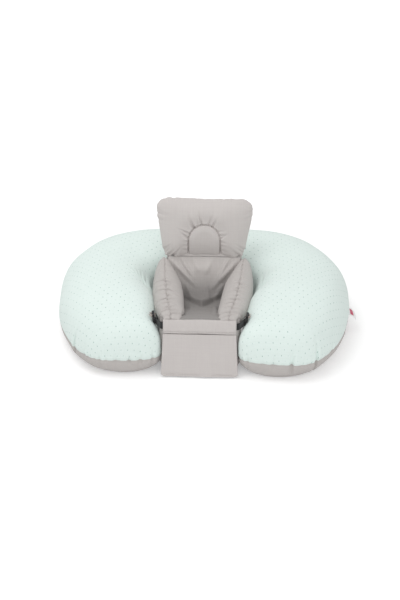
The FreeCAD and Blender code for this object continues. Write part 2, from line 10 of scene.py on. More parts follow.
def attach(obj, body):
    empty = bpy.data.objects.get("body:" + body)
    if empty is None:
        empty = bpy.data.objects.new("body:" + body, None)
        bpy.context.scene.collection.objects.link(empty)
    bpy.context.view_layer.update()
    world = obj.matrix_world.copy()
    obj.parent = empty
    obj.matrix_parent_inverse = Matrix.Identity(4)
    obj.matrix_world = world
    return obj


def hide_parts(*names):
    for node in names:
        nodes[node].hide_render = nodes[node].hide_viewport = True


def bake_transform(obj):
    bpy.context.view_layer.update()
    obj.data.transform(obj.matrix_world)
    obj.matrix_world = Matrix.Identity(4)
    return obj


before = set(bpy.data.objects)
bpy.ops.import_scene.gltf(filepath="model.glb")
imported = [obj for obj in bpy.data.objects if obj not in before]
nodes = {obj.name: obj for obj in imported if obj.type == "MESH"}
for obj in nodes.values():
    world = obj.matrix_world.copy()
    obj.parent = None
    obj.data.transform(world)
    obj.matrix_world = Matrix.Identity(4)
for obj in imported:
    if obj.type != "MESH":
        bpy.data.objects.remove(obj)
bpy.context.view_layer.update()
scene = bpy.context.scene

# Horseshoe cushion, in metres
front_y = -0.280
seam_z = 0.042
half_arm = 0.122
half_span = 0.360
crown_rise = 0.120
shoulder_power = 2.35
belly_drop = 0.062
belly_power = 2.0
corner_x = 0.089
corner_y = 0.009
spine_radius = 0.149
spine_end = 0.100
arm_length = 0.289
arm_side_power = (1.88, 2.02)
arm_reach = (1.0, 1.022)
tip_x = 0.210
tip_bulge = 0.0060
mouth_half = 0.0920
mouth_power = 3.2
mouth_corner = 0.045

# Headrest pad, leaning back on its lower seam
pad_pivot = Vector((0, 0.0333328, 0.1550901))
pad_lean = math.radians(19.0)
pad_shift_back = 0.0008
pad_shift_up = 0.0028
pad_height = 0.143
pad_half_widths = (0.101, 0.127)
pad_corner_radii = (0.014, 0.036)
pad_front_bulge = 0.027
pad_rear_bulge = 0.025
arch_radius = 0.0395
arch_spring = 0.0375

# Wings, from their front end to their top
wing_front = 0.054
wing_length = 0.254
wing_front_limit = -0.2405
crest_x_low = 0.074
crest_x_spread = 0.024
crest_z_low = 0.131
crest_z_rise = 0.022

# Seat cloth: lip, straight pan, then the arcs of the crease and the back
seat_half = 0.0898
lip_start = (-seat_half, -0.2390, 0.1225)
lip_steps = ((0, 0.0020, 0.0035), (0, 0.0030, 0.0015), (0, 0.0040, 0.0005))
pan_start_y = -0.230
pan_slope = math.radians(20.9)
pan_length = 0.144
crease_middle = (0, -0.0705, 0.142)
crease_radius = 0.070
crease_degrees = 35.9
back_middle = (0, -0.0837, 0.1913)
back_radius = 0.121
back_degrees = 57.3
back_start = 0.1879
back_start_turn = math.radians(15.0)
crease_y = -0.0955
back_y = -0.0524
panel_cloth = 0.0014

# Sloping plane of the flap and belt, and the plane of the zip
flap_low = 0.0032
flap_height = 0.0992
flap_half_low = 0.0880
flap_taper = 0.0050
flap_corner = 0.006
flap_hem = 0.0085
casing_half = 0.0828
casing_up = 0.1197
casing_rise = 0.0160
casing_stitch_up = 0.1076
zip_y = 0.275
zip_tilt = math.radians(6.0)
zip_half = 0.0749
slope_place = Matrix.Translation((0, front_y, 0)) @ Matrix.Rotation(math.radians(-17.1), 4, "X")
zip_place = Matrix.Translation((0, zip_y, seam_z)) @ Matrix.Rotation(-zip_tilt, 4, "X")

# Limits of the meshes
merge_distance = 1e-5
cut_distance = 1e-6
tiny = 1e-9
stuffing_frames = 20


# Curves for shapes
def hump(offset, width):
    """Bell of height 1 over offsets from its middle."""
    return np.exp(-(offset / width) ** 2)


def ramp(value, start, end):
    """Share of the way from a start to an end, held at 0 and 1 beyond them."""
    return np.clip((value - start) / (end - start), 0, 1)


def smooth_ramp(value, start, end):
    """Ramp that starts and ends gently."""
    share = ramp(value, start, end)
    return share * share * (3 - 2 * share)


def bowed(share, power):
    """Rise from 0 to 1 along a quarter of a rounded square."""
    return (1 - (1 - np.clip(share, 0, 1)) ** power) ** (1 / power)


def lumps(points, size, seed):
    """Smooth uneven swell from about -1 to 1, with humps of a size."""
    draw = np.random.default_rng(seed)
    total = np.zeros(len(points))
    for _ in range(12):
        way = draw.normal(size=points.shape[1])
        way *= 2 * math.pi / (size * draw.uniform(1.6, 2.8) * np.linalg.norm(way))
        total += np.sin(points @ way + draw.uniform(0, 2 * math.pi))
    return total / 5


def pucker(along, away, place, depth, width, reach, lean=0.0, rim=2.3):
    """Crease away from a seam at one place along it, the cloth raised in a rim on both sides."""
    beside = along - place - lean * away
    fade = np.exp(-(np.abs(away) / reach) ** 1.6)
    return depth * fade * (0.4 * hump(beside, rim * width) - 1.25 * hump(beside, width))


def settle(points, centres, outside):
    """Move points along rays from their centres onto the surface where outside() turns positive."""
    ray = points - centres
    near = np.zeros(len(points))
    far = np.full(len(points), 3.0)
    for _ in range(30):
        middle = (near + far) / 2
        beyond = outside(centres + ray * middle[:, None]) > 0
        far = np.where(beyond, middle, far)
        near = np.where(beyond, near, middle)
    return centres + ray * ((near + far) / 2)[:, None]


# Tools for pieces
def piece_from(bm, name):
    """Object at the origin from a finished bmesh."""
    mesh = bpy.data.meshes.new(name)
    bm.to_mesh(mesh)
    bm.free()
    mesh.shade_smooth()
    obj = bpy.data.objects.new(name, mesh)
    scene.collection.objects.link(obj)
    return obj


def points_of(obj):
    flat = np.empty(len(obj.data.vertices) * 3)
    obj.data.vertices.foreach_get("co", flat)
    return flat.reshape(-1, 3)


def set_points(obj, points):
    obj.data.vertices.foreach_set("co", np.ascontiguousarray(points).ravel())
    obj.data.update()


def push(obj, amount):
    """Move vertices along their normals."""
    flat = np.empty(len(obj.data.vertices) * 3, np.float32)
    obj.data.vertex_normals.foreach_get("vector", flat)
    set_points(obj, points_of(obj) + flat.reshape(-1, 3) * amount[:, None])


def set_cloth_map(obj, *flat_places):
    """UV map that lays the cloth out flat, in metres."""
    corner = np.empty(len(obj.data.loops), np.int32)
    obj.data.loops.foreach_get("vertex_index", corner)
    layer = obj.data.uv_layers.new(name="cloth")
    layer.data.foreach_set("uv", np.stack(flat_places, 1)[corner].astype(np.float32).ravel())


def set_wall_map(obj):
    """UV map in metres that lays each face out on the plane it faces most."""
    points = points_of(obj)
    layer = obj.data.uv_layers.new(name="cloth")
    for face in obj.data.polygons:
        x, y, z = (abs(part) for part in face.normal)
        pair = (0, 1) if z >= max(x, y) else (1, 2) if x >= y else (0, 2)
        for loop in face.loop_indices:
            place = points[obj.data.loops[loop].vertex_index]
            layer.data[loop].uv = (place[pair[0]], place[pair[1]])


def bake_modifiers(obj):
    """Apply the modifiers of an object to its mesh."""
    shaped = obj.evaluated_get(bpy.context.evaluated_depsgraph_get())
    mesh = bpy.data.meshes.new_from_object(shaped)
    obj.modifiers.clear()
    obj.data = mesh
    mesh.shade_smooth()


def pad_blank(name, node, voxel):
    """Even skin round a copy of a CAD solid, ready to be stuffed."""
    bm = bmesh.new()
    bm.from_mesh(nodes[node].data)
    bmesh.ops.remove_doubles(bm, verts=bm.verts, dist=merge_distance)
    obj = piece_from(bm, name)
    skin = obj.modifiers.new("skin", "REMESH")
    skin.mode = "VOXEL"
    skin.voxel_size = voxel * 1
    bake_modifiers(obj)
    obj.data.materials.clear()
    return obj


def eased(obj, rounds):
    """Smooth a skin's vertices."""
    bm = bmesh.new()
    bm.from_mesh(obj.data)
    for _ in range(rounds):
        bmesh.ops.smooth_vert(bm, verts=bm.verts, factor=0.5, use_axis_x=True, use_axis_y=True,
                              use_axis_z=True)
    bm.to_mesh(obj.data)
    bm.free()
    obj.data.update()


def finer(obj):
    """One subdivision, applied."""
    step = obj.modifiers.new("finer", "SUBSURF")
    step.levels = step.render_levels = 1
    bake_modifiers(obj)


def walled(obj, thickness, offset=0.0):
    """Give a cloth surface its thickness, applied."""
    wall = obj.modifiers.new("wall", "SOLIDIFY")
    wall.thickness = thickness
    wall.offset = offset
    bake_modifiers(obj)


def weighted(obj, name, weights):
    """Vertex group with one weight for each vertex, in tenths."""
    group = obj.vertex_groups.new(name=name)
    for tenths in range(1, 11):
        chosen = np.nonzero(np.round(weights * 10) == tenths)[0]
        if len(chosen):
            group.add(chosen.tolist(), tenths / 10, "REPLACE")
    return name


def stuffed(obj, pressure, cap, held=None):
    """Blow a skin up as stuffed cloth, no point moving further than the cap."""
    before = points_of(obj)
    cloth = obj.modifiers.new("cloth", "CLOTH")
    fabric = cloth.settings
    fabric.effector_weights.gravity = 0.0
    fabric.quality = 4
    fabric.use_pressure = True
    fabric.uniform_pressure_force = pressure
    if held is not None:
        fabric.vertex_group_mass = weighted(obj, "held", held)
    cloth.point_cache.frame_end = stuffing_frames
    for step in range(1, stuffing_frames + 1):
        scene.frame_set(step)
    bake_modifiers(obj)
    scene.frame_set(1)
    moved = points_of(obj) - before
    length = np.linalg.norm(moved, axis=1, keepdims=True)
    set_points(obj, before + moved * np.minimum(1, cap / np.maximum(length, tiny)))
    obj.vertex_groups.clear()


def edges_among(bm, verts):
    """Edges whose ends are both in a set of vertices."""
    return [edge for edge in bm.edges if all(vert in verts for vert in edge.verts)]


def ribbon_run(bm, verts, step, count):
    """Carry an open edge on along a straight run, and give back its last vertices."""
    edges = edges_among(bm, set(verts))
    for _ in range(count):
        moved = bmesh.ops.extrude_edge_only(bm, edges=edges)["geom"]
        verts = [element for element in moved if isinstance(element, bmesh.types.BMVert)]
        ends = set(verts)
        edges = [element for element in moved if isinstance(element, bmesh.types.BMEdge)
                 and all(vert in ends for vert in element.verts)]
        bmesh.ops.translate(bm, verts=verts, vec=step)
    return verts


def ribbon_bend(bm, verts, centre, axis, degrees, steps):
    """Carry an open edge on round a bend, and give back its last vertices."""
    turned = bmesh.ops.spin(bm, geom=verts + edges_among(bm, set(verts)), cent=centre, axis=axis,
                            dvec=(0, 0, 0), angle=math.radians(degrees), steps=steps)
    return [element for element in turned["geom_last"] if isinstance(element, bmesh.types.BMVert)]


def open_edge(bm, low, high, parts):
    """Straight open edge to make a ribbon from."""
    verts = [bm.verts.new(low), bm.verts.new(high)]
    bmesh.ops.subdivide_edges(bm, edges=[bm.edges.new(verts)], cuts=parts)
    return bm.verts[:]


def finish_ribbon(bm, name, thickness, lay_out):
    """Ribbon with its flat map and its thickness from an open surface."""
    bmesh.ops.remove_doubles(bm, verts=bm.verts, dist=merge_distance)
    bmesh.ops.recalc_face_normals(bm, faces=bm.faces)
    ribbon = piece_from(bm, name)
    set_cloth_map(ribbon, *lay_out(*points_of(ribbon).T))
    walled(ribbon, thickness)
    return ribbon


def flat_grid(name, columns, rows):
    """Grid piece one unit wide and high, to be laid out."""
    bm = bmesh.new()
    bmesh.ops.create_grid(bm, x_segments=columns, y_segments=rows, size=0.5)
    return piece_from(bm, name)


def on_plane(place, across, inward, up):
    """Points laid out on a sloping plane, in the frame."""
    return np.stack([across, inward, up], 1) @ np.array(place.to_3x3()).T + np.array(place.translation)


# Horseshoe: section sizes and places
def back_from_tip(points):
    """Distance back from each arm's front edge, the right-hand arm being a little the longer."""
    reach = np.where(points[:, 0] < 0, *arm_reach)
    return arm_length + np.minimum(points[:, 1] - corner_y, 0) / reach


def arm_edges(back, right):
    """Inner and outer edge of an arm at places back from its front edge."""
    power = np.where(right, arm_side_power[1], arm_side_power[0])
    outer = tip_x + (half_span - tip_x) * bowed(back / arm_length, power)
    curled = tip_x - (tip_x - mouth_half) * bowed(back / mouth_corner, mouth_power)
    taper = (back - mouth_corner) / (arm_length - mouth_corner)
    straight = mouth_half + (half_span - 2 * half_arm - mouth_half) * taper
    bulge = tip_bulge * hump(back - 0.030, 0.020)
    return np.where(back < mouth_corner, curled, straight) - bulge, outer


def spine_places(points):
    """Place on the spine that belongs to each point, the arm tips hanging on the spine's ends."""
    x = np.abs(points[:, 0])
    y = points[:, 1]
    side = np.where(points[:, 0] < 0, -1.0, 1.0)
    back = np.maximum(back_from_tip(points), spine_end)
    inner, outer = arm_edges(back, points[:, 0] > 0)
    turn = np.arctan2(np.maximum(y - corner_y, tiny), np.maximum(x - corner_x, 0))
    in_arm = y <= corner_y
    on_rear = ~in_arm & (x <= corner_x)
    bend_x = corner_x + spine_radius * np.cos(turn)
    bend_y = corner_y + spine_radius * np.where(on_rear, 1, np.sin(turn))
    across = np.where(in_arm, (inner + outer) / 2, np.where(on_rear, x, bend_x))
    along = np.where(in_arm, np.maximum(y, spine_end + front_y), bend_y)
    return np.stack([across * side, along, np.full(len(points), seam_z)], 1)


def outside_cushion(points):
    """Positive outside the stuffed section, squarer at the arms' inner fronts and rounder at the rear."""
    x = np.abs(points[:, 0])
    y = points[:, 1]
    back = back_from_tip(points)
    inner, outer = arm_edges(back, points[:, 0] > 0)
    in_arm = y <= corner_y
    from_corner = np.hypot(np.maximum(x - corner_x, 0), y - corner_y)
    across = np.where(in_arm, x - (inner + outer) / 2, from_corner - spine_radius)
    half = np.where(in_arm, (outer - inner) / 2, half_arm)
    up = points[:, 2] - seam_z
    rear = ramp(y, 0.06, 0.16) * ramp(x, 0.26, 0.14)
    mouth = smooth_ramp(y, -0.04, -0.20) * (across < 0)
    power = np.where(up > 0, shoulder_power - 0.38 * rear + 0.75 * mouth, belly_power)
    rise = np.abs(up) * np.where(up > 0, half_arm / crown_rise, half_arm / belly_drop)
    reach = (np.abs(across) ** power + rise ** power) ** (1 / power)
    return np.where(back < 0, 1.0, reach - half)


def out_of_zip(points):
    """Distance out of the plane that the zip lies in."""
    return (points[:, 1] - zip_y) * math.cos(zip_tilt) - (points[:, 2] - seam_z) * math.sin(zip_tilt)


def cushion_form(points):
    """Points settled on the stuffed horseshoe, flat on the floor and at the zip."""
    shaped = settle(points, spine_places(points), outside_cushion)
    shaped[:, 1] -= np.maximum(out_of_zip(shaped), 0)
    shaped[:, 2] = np.maximum(shaped[:, 2], 0)
    return shaped


def cushion_cloth_places(points, upper):
    """Flat places on the cut panel: spine place plus the arc out to the point."""
    spine = spine_places(points)
    reach = points[:, :2] - spine[:, :2]
    across = np.linalg.norm(reach, axis=1)
    up = (points[:, 2] - seam_z) if upper else (seam_z - points[:, 2]) * 2
    arc = np.hypot(across, up) * np.arctan2(across, np.maximum(up, 0))
    return spine[:, :2] + reach / np.maximum(across, tiny)[:, None] * arc[:, None]


def seam_line():
    """Places round the seam in plan, and their distance along it from the middle of the inner rear."""
    back = arm_length * np.linspace(0, 1, 150) ** 2
    turn = np.linspace(0, math.pi / 2, 80)[:, None]
    quarter = np.hstack([np.cos(turn), np.sin(turn)])
    corner = np.array([corner_x, corner_y])
    rear = np.linspace(0, corner_x, 20, endpoint=False)
    bends = [corner + quarter * (spine_radius + half) for half in (-half_arm, half_arm)]
    rears = [np.stack([rear, np.full(len(rear), bend[-1, 1])], 1) for bend in bends]
    halves = []
    for right in (True, False):
        inner, outer = arm_edges(back, right)
        y = corner_y + (back - arm_length) * arm_reach[right]
        halves.append(np.vstack([rears[0], bends[0][::-1], np.stack([inner, y], 1)[-2:0:-1],
                                 np.stack([outer, y], 1)[:-1], bends[1], rears[1][::-1]]))
    places = np.vstack([halves[0], (halves[1] * [-1, 1])[-2:0:-1]])
    steps = np.linalg.norm(np.diff(places, axis=0, append=places[:1]), axis=1)
    return places, np.concatenate([[0], np.cumsum(steps)[:-1]]), steps.sum()


seam_places, seam_along, seam_length = seam_line()
seam_tree = kdtree.KDTree(len(seam_places))
for index, (x, y) in enumerate(seam_places):
    seam_tree.insert((x, y, 0), index)
seam_tree.balance()


def along_seam(points):
    """Distance along the seam of the place nearest to each point in plan."""
    nearest = np.array([seam_tree.find((x, y, 0))[1] for x, y in points[:, :2]])
    ahead = np.roll(seam_places, -1, axis=0) - np.roll(seam_places, 1, axis=0)
    ahead /= np.linalg.norm(ahead, axis=1, keepdims=True)
    return seam_along[nearest] + ((points[:, :2] - seam_places[nearest]) * ahead[nearest]).sum(1)


# Deep creases at the arm ends: place in plan, depth, width, reach up the cover
deep_creases = ((-0.287, -0.224, 0.0112, 0.0046, 0.030), (-0.258, -0.249, 0.0042, 0.0046, 0.014),
                (-0.190, -0.277, 0.0036, 0.0046, 0.015), (-0.133, -0.270, 0.0040, 0.0046, 0.014),
                (-0.108, -0.262, 0.0038, 0.0046, 0.016), (0.262, -0.262, 0.0102, 0.0046, 0.034),
                (0.208, -0.284, 0.0080, 0.0046, 0.024), (0.113, -0.262, 0.0042, 0.0046, 0.015),
                (0.302, -0.215, 0.0034, 0.0048, 0.018), (-0.225, -0.270, 0.0030, 0.0044, 0.011),
                (0.165, -0.284, 0.0030, 0.0044, 0.012), (-0.160, -0.276, 0.0026, 0.0044, 0.011))


def wing_dip(points, side):
    """Dip in the inner slope of an arm beside a wing, with fine folds fanning out over it."""
    x, y, z = points[:, 0] * side, points[:, 1], points[:, 2]
    dip = 0.0110 * hump(x - 0.137, 0.022) * hump(y + 0.030, 0.045)
    out, back = x - 0.106, y + 0.088
    turn = np.arctan2(out, back)
    folds = 1 - np.abs(np.sin(turn * 19 + 0.9 * lumps(points, 0.05, 6)))
    fade = hump(np.hypot(out, back) - 0.062, 0.026) * hump(turn - 0.60, 0.50)
    return -(dip + 0.0046 * folds * fade) * ramp(z, 0.060, 0.090)


def cushion_creases(points):
    """Swell and creases of the covers, outward from the stuffed form."""
    up = points[:, 2] - seam_z
    amount = 0.0016 * lumps(points, 0.085, 3) + 0.0006 * lumps(points, 0.030, 4)
    amount -= 0.0026 * hump(up, 0.0042)
    near = np.abs(up) < 0.075
    along = along_seam(points[near])
    rise = up[near]
    total = np.zeros(len(rise))
    draw = np.random.default_rng(11)
    end_gap = 0.01
    place = end_gap
    while place < seam_length - end_gap:
        total += pucker(along, rise, place, draw.uniform(0.0008, 0.0024), draw.uniform(0.0036, 0.0052),
                        draw.uniform(0.008, 0.018), draw.uniform(-0.25, 0.25))
        place += draw.uniform(0.017, 0.036)
    for x, y, depth, width, reach in deep_creases:
        total += pucker(along, rise, along_seam(np.array([[x, y]]))[0], depth, width, reach, 0.05)
    amount[near] += total
    for side in (-1, 1):
        amount += wing_dip(points, side)
    return amount * ramp(points[:, 2], 0, 0.012)


def has_fine_creases(place):
    """True in a band round the seam of the arms, and beside the wings."""
    x, y, z = place
    at_seam = abs(z - seam_z) < 0.030 and y < 0.03
    return at_seam or (z > 0.075 and 0.105 < abs(x) < 0.180 and -0.10 < y < 0.05)


def split_large_faces(bm):
    bmesh.ops.triangulate(bm, faces=[face for face in bm.faces if len(face.verts) > 4])


def finer_at_creases(obj):
    """Split the edges where the creases are small."""
    bm = bmesh.new()
    bm.from_mesh(obj.data)
    near = [edge for edge in bm.edges if all(has_fine_creases(vert.co) for vert in edge.verts)]
    bmesh.ops.subdivide_edges(bm, edges=near, cuts=1, use_grid_fill=True)
    split_large_faces(bm)
    bm.to_mesh(obj.data)
    bm.free()
    obj.data.update()


def cut_half(obj, name, keep_upper):
    """Closed upper or lower half of the stuffed horseshoe, cut at its seam."""
    bm = bmesh.new()
    bm.from_mesh(obj.data)
    everything = bm.verts[:] + bm.edges[:] + bm.faces[:]
    bmesh.ops.bisect_plane(bm, geom=everything, dist=cut_distance, plane_co=(0, 0, seam_z),
                           plane_no=(0, 0, 1), clear_inner=keep_upper, clear_outer=not keep_upper)
    bmesh.ops.holes_fill(bm, edges=[edge for edge in bm.edges if edge.is_boundary])
    split_large_faces(bm)
    bmesh.ops.recalc_face_normals(bm, faces=bm.faces)
    half = piece_from(bm, name)
    set_cloth_map(half, *cushion_cloth_places(points_of(half), keep_upper).T)
    return half


def make_cushion():
    """Upper and lower half of the stuffed horseshoe, with a shallow window for the zip."""
    body = pad_blank("cushion", "cushion_filling", 0.006)
    for rounds in (6, 3):
        eased(body, rounds)
        set_points(body, cushion_form(points_of(body)))
    shaped = points_of(body)
    x, z = np.abs(shaped[:, 0]), shaped[:, 2]
    at_zip = (x < 0.085) & (out_of_zip(shaped) > -0.004)
    stuffed(body, 4.0, 0.004, np.maximum(ramp(np.abs(z - seam_z), 0.006, 0), (z < 0.002) | at_zip))
    finer(body)
    finer_at_creases(body)
    push(body, cushion_creases(points_of(body)))
    shaped = points_of(body)
    x, z = np.abs(shaped[:, 0]), shaped[:, 2]
    out = out_of_zip(shaped)
    window = ramp(x, 0.0790, 0.0760) * ramp(np.abs(z - seam_z), 0.0135, 0.0105) * (out > -0.004)
    shaped[:, 1] -= np.maximum(out, 0) * (x < 0.09) + 0.0026 * window
    shaped[:, 2] = np.maximum(z, 0)
    set_points(body, shaped)
    halves = cut_half(body, "cushion_top", True), cut_half(body, "cushion_base", False)
    bpy.data.objects.remove(body)
    return halves


# Headrest: pad places are across, back and up from the middle of its lower seam
def pad_to_world(across, back, up):
    back = back - pad_shift_back
    up = up + pad_shift_up
    y = pad_pivot.y + back * math.cos(pad_lean) + up * math.sin(pad_lean)
    z = pad_pivot.z - back * math.sin(pad_lean) + up * math.cos(pad_lean)
    return np.stack([across, y, z], 1)


def world_to_pad(points):
    y = points[:, 1] - pad_pivot.y
    z = points[:, 2] - pad_pivot.z
    back = y * math.cos(pad_lean) - z * math.sin(pad_lean)
    up = y * math.sin(pad_lean) + z * math.cos(pad_lean)
    return np.stack([points[:, 0], back + pad_shift_back, up - pad_shift_up], 1)


def pad_outline():
    """Angle and reach of the pad's rounded outline round its middle."""
    bm = bmesh.new()
    half = pad_height / 2
    low, high = pad_half_widths
    corners = [bm.verts.new((x, y, 0)) for x, y in ((-low, -half), (low, -half), (high, half), (-high, half))]
    bm.faces.new(corners)
    for pair, radius in zip((corners[:2], corners[2:]), pad_corner_radii):
        bmesh.ops.bevel(bm, geom=pair, offset=radius, affect="VERTICES", segments=8, profile=0.5, material=-1)
    bmesh.ops.subdivide_edges(bm, edges=[edge for edge in bm.edges if edge.calc_length() > 0.02], cuts=30)
    angle = np.array([math.atan2(vert.co.y, vert.co.x) for vert in bm.verts])
    reach = np.array([vert.co.length for vert in bm.verts])
    bm.free()
    order = np.argsort(angle)
    return angle[order], reach[order]


outline_angle, outline_reach = pad_outline()


def pad_share(places):
    """Angle round the pad's middle, share of the way out to its outline, and the outline's reach there."""
    up = places[:, 2] - pad_height / 2
    angle = np.arctan2(up, places[:, 0])
    reach = np.interp(angle, outline_angle, outline_reach, period=2 * math.pi)
    return angle, np.hypot(places[:, 0], up) / reach, reach


def outside_pad(places):
    """Positive outside the stuffed pad."""
    bulge = np.where(places[:, 1] < 0, pad_front_bulge, pad_rear_bulge)
    return pad_share(places)[1] ** 2.4 + (np.abs(places[:, 1]) / bulge) ** 1.6 - 1


def arch_folds(across, over, up, from_arch, draw):
    """Folds fanning out from the sewn arch, and a few below its ends."""
    amount = np.zeros(len(across))
    beyond = np.maximum(from_arch, 0)
    turn = np.arctan2(over, across)
    reach = np.maximum(from_arch + arch_radius, 0.01)
    end_turn = 0.16
    for centre in np.linspace(end_turn, math.pi - end_turn, 11) + draw.uniform(-0.16, 0.16, 11):
        beside = (turn - centre + draw.uniform(-0.3, 0.3) * from_arch / 0.03) * reach
        width = draw.uniform(0.0020, 0.0042)
        fold = 1.2 * hump(beside, width) - 0.4 * hump(beside, 2.4 * width)
        fade = hump(beyond, draw.uniform(0.008, 0.028)) * ramp(over, -0.012, -0.004)
        amount += draw.uniform(0.0024, 0.0058) * fold * fade
    for side in (-1, 1):
        for place in (0.010, 0.022, 0.033):
            beside = up - place - draw.uniform(-0.25, 0.25) * (across * side - arch_radius)
            fade = hump(beyond, draw.uniform(0.010, 0.020)) * (across * side > 0)
            amount += draw.uniform(0.0008, 0.0018) * hump(beside, 0.0026) * fade
    return amount * (from_arch > 0)


def pad_gathers(angle, inward, edge, draw):
    """Gathers along the pad's seam: upper corners, lower corners, then a few faint ones on top."""
    upper = math.atan2(0.05, 0.10)
    right = math.pi / 2
    spots = [(right - side * (right - upper) + draw.uniform(-0.36, 0.36), draw.uniform(0.0008, 0.0020))
             for side in (-1, 1) for _ in range(8)]
    spots += [(-right + side * 0.98 + draw.uniform(-0.14, 0.14), draw.uniform(0.0026, 0.0044))
              for side in (-1, 1) for _ in range(6)]
    spots += [(draw.uniform(0.75, math.pi - 0.75), draw.uniform(0.0003, 0.0008)) for _ in range(7)]
    amount = np.zeros(len(angle))
    for place, depth in spots:
        along = np.angle(np.exp(1j * (angle - place))) * edge
        amount += pucker(along, inward, 0, depth, draw.uniform(0.0030, 0.0044),
                         draw.uniform(0.012, 0.022), rim=2.2)
    return amount


def pad_creases(places):
    """Sewn arch with its folds, and the gathers along the pad's seam, outward from the pad."""
    across, back, up = places.T
    front = ramp(back, 0, -0.0035)
    over = up - arch_spring
    from_arch = np.where(over > 0, np.hypot(across, over), np.abs(across)) - arch_radius
    draw = np.random.default_rng(22)
    groove = np.where(over > 0, 0.0050, 0.0076) * hump(from_arch, 0.0018)
    sunk = groove + 0.0068 * hump(np.maximum(from_arch, 0), 0.020) - 0.0012 * hump(from_arch + 0.016, 0.010)
    folds = arch_folds(across, over, up, from_arch, draw)
    amount = 0.0009 * lumps(places, 0.050, 21) - front * (sunk + folds)
    angle, share, edge = pad_share(places)
    amount -= 0.0016 * hump(back, 0.0022) * (share > 0.9)
    pinch = hump(np.abs(across) - 0.097, 0.020) * hump(up, 0.020)
    amount -= 0.0050 * pinch * ramp(np.abs(back), 0, 0.006)
    return amount + pad_gathers(angle, (1 - share) * edge, edge, draw)


def make_headrest():
    pad = pad_blank("headrest_pad", "headrest_filling", 0.004)
    eased(pad, 6)
    places = world_to_pad(points_of(pad))
    middle = np.tile([0, 0, pad_height / 2], (len(places), 1))
    places = settle(places, middle, outside_pad)
    set_points(pad, pad_to_world(*places.T))
    stuffed(pad, 3.0, 0.003, (pad_share(places)[1] > 0.96) & (np.abs(places[:, 1]) < 0.007))
    finer(pad)
    finer(pad)
    push(pad, pad_creases(world_to_pad(points_of(pad))))
    across, back, up = world_to_pad(points_of(pad)).T
    up = up - 0.0062 * hump(np.maximum(up, 0), 0.014) * ramp(back, 0.01, 0)
    up = up - 0.0016 * hump(across, 0.05) * ramp(up, 0.12, 0.14)
    set_points(pad, pad_to_world(across, back, up))
    set_cloth_map(pad, across, up)
    return pad


# Wings: places along each bolster, and the crest's course and the fullness there
wing_along = np.array([0.00, 0.03, 0.09, 0.19, 0.36, 0.56, 0.72, 0.84, 0.94, 1.00])
wing_height = np.array([-0.16, 0.00, 0.10, 0.20, 0.33, 0.45, 0.59, 0.74, 0.89, 1.00])
wing_spread = np.array([0.00, 0.03, 0.12, 0.28, 0.49, 0.72, 0.85, 0.93, 0.98, 1.00])
wing_size = np.array([0.34, 0.50, 0.64, 0.76, 0.89, 1.00, 0.96, 0.76, 0.46, 0.14])
wing_plump = np.array([0.74, 0.80, 0.85, 0.90, 0.96, 1.02, 1.01, 0.92, 0.74, 0.46])
wing_inner = np.array([1.20, 1.20, 1.20, 1.19, 1.16, 1.10, 1.00, 0.78, 0.50, 0.30])


def wing_share(points):
    """Share of the way along a wing, from its front end to its top."""
    return (points[:, 1] - front_y - wing_front) / wing_length


def crest_height(share):
    return crest_z_low + crest_z_rise * np.interp(share, wing_along, wing_height)


def fill_out_wing(points, sign):
    """Make a wing's plain solid fuller towards its ends and narrower on its inner side at the top."""
    share = wing_share(points)
    crest_x = crest_x_low + crest_x_spread * np.interp(share, wing_along, wing_spread)
    crest_z = crest_height(share)
    fuller = np.interp(share, wing_along, wing_plump / wing_size)
    aside = (points[:, 0] * sign - crest_x) * fuller
    inner = np.interp(share, wing_along, wing_inner)
    points[:, 0] = sign * (crest_x + np.where(aside < 0, aside * inner, aside))
    top = ramp(share, 0.55, 1)
    points[:, 2] = crest_z - (crest_z - points[:, 2]) * fuller + 0.010 * top ** 2
    points[:, 1] += np.where(share < 0.15, (share - 0.15) * 0.09, 0) + 0.017 * top
    return points


def draw_wing_forward(points, sign):
    """Carry a wing's front end on into the belt casing."""
    share = wing_share(points)
    front = ramp(share, 0.30, 0)
    points[:, 0] -= sign * 0.006 * front
    points[:, 2] += 0.010 * front - 0.016 * ramp(share, 0.04, -0.06) ** 2
    points[:, 1] = np.maximum(points[:, 1] - 0.022 * ramp(share, 0.16, 0), wing_front_limit)
    return points


def make_wing(side, sign):
    wing = pad_blank("wing_" + side, "wing_%s_filling" % side, 0.004)
    eased(wing, 3)
    set_points(wing, fill_out_wing(points_of(wing), sign))
    eased(wing, 2)
    stuffed(wing, 4.0, 0.004)
    finer(wing)
    finer(wing)
    points = draw_wing_forward(points_of(wing), sign)
    set_points(wing, points)
    share = wing_share(points)
    aside = points[:, 0] * sign - 0.066 - 0.031 * np.interp(share, wing_along, wing_spread)
    below = crest_height(share) - points[:, 2]
    around = np.hypot(aside, below * 0.6) * np.sign(aside)
    amount = 0.0009 * lumps(points, 0.040, 31 + (sign > 0)) - 0.0030 * hump(aside, 0.0022) * (below < 0.02)
    draw = np.random.default_rng(41 + (sign > 0))
    for place in np.arange(-0.228, 0.02, 0.0195):
        strength = 1.0 if place < -0.06 else 0.4
        for half in (-1, 1):
            fold = pucker(points[:, 1], np.abs(around), place + draw.uniform(-0.006, 0.006),
                          strength * draw.uniform(0.0030, 0.0078), draw.uniform(0.0030, 0.0044),
                          draw.uniform(0.012, 0.026), draw.uniform(-0.45, 0.45))
            amount += fold * (np.sign(aside) == half)
    push(wing, amount)
    set_cloth_map(wing, points[:, 1], around)
    return wing


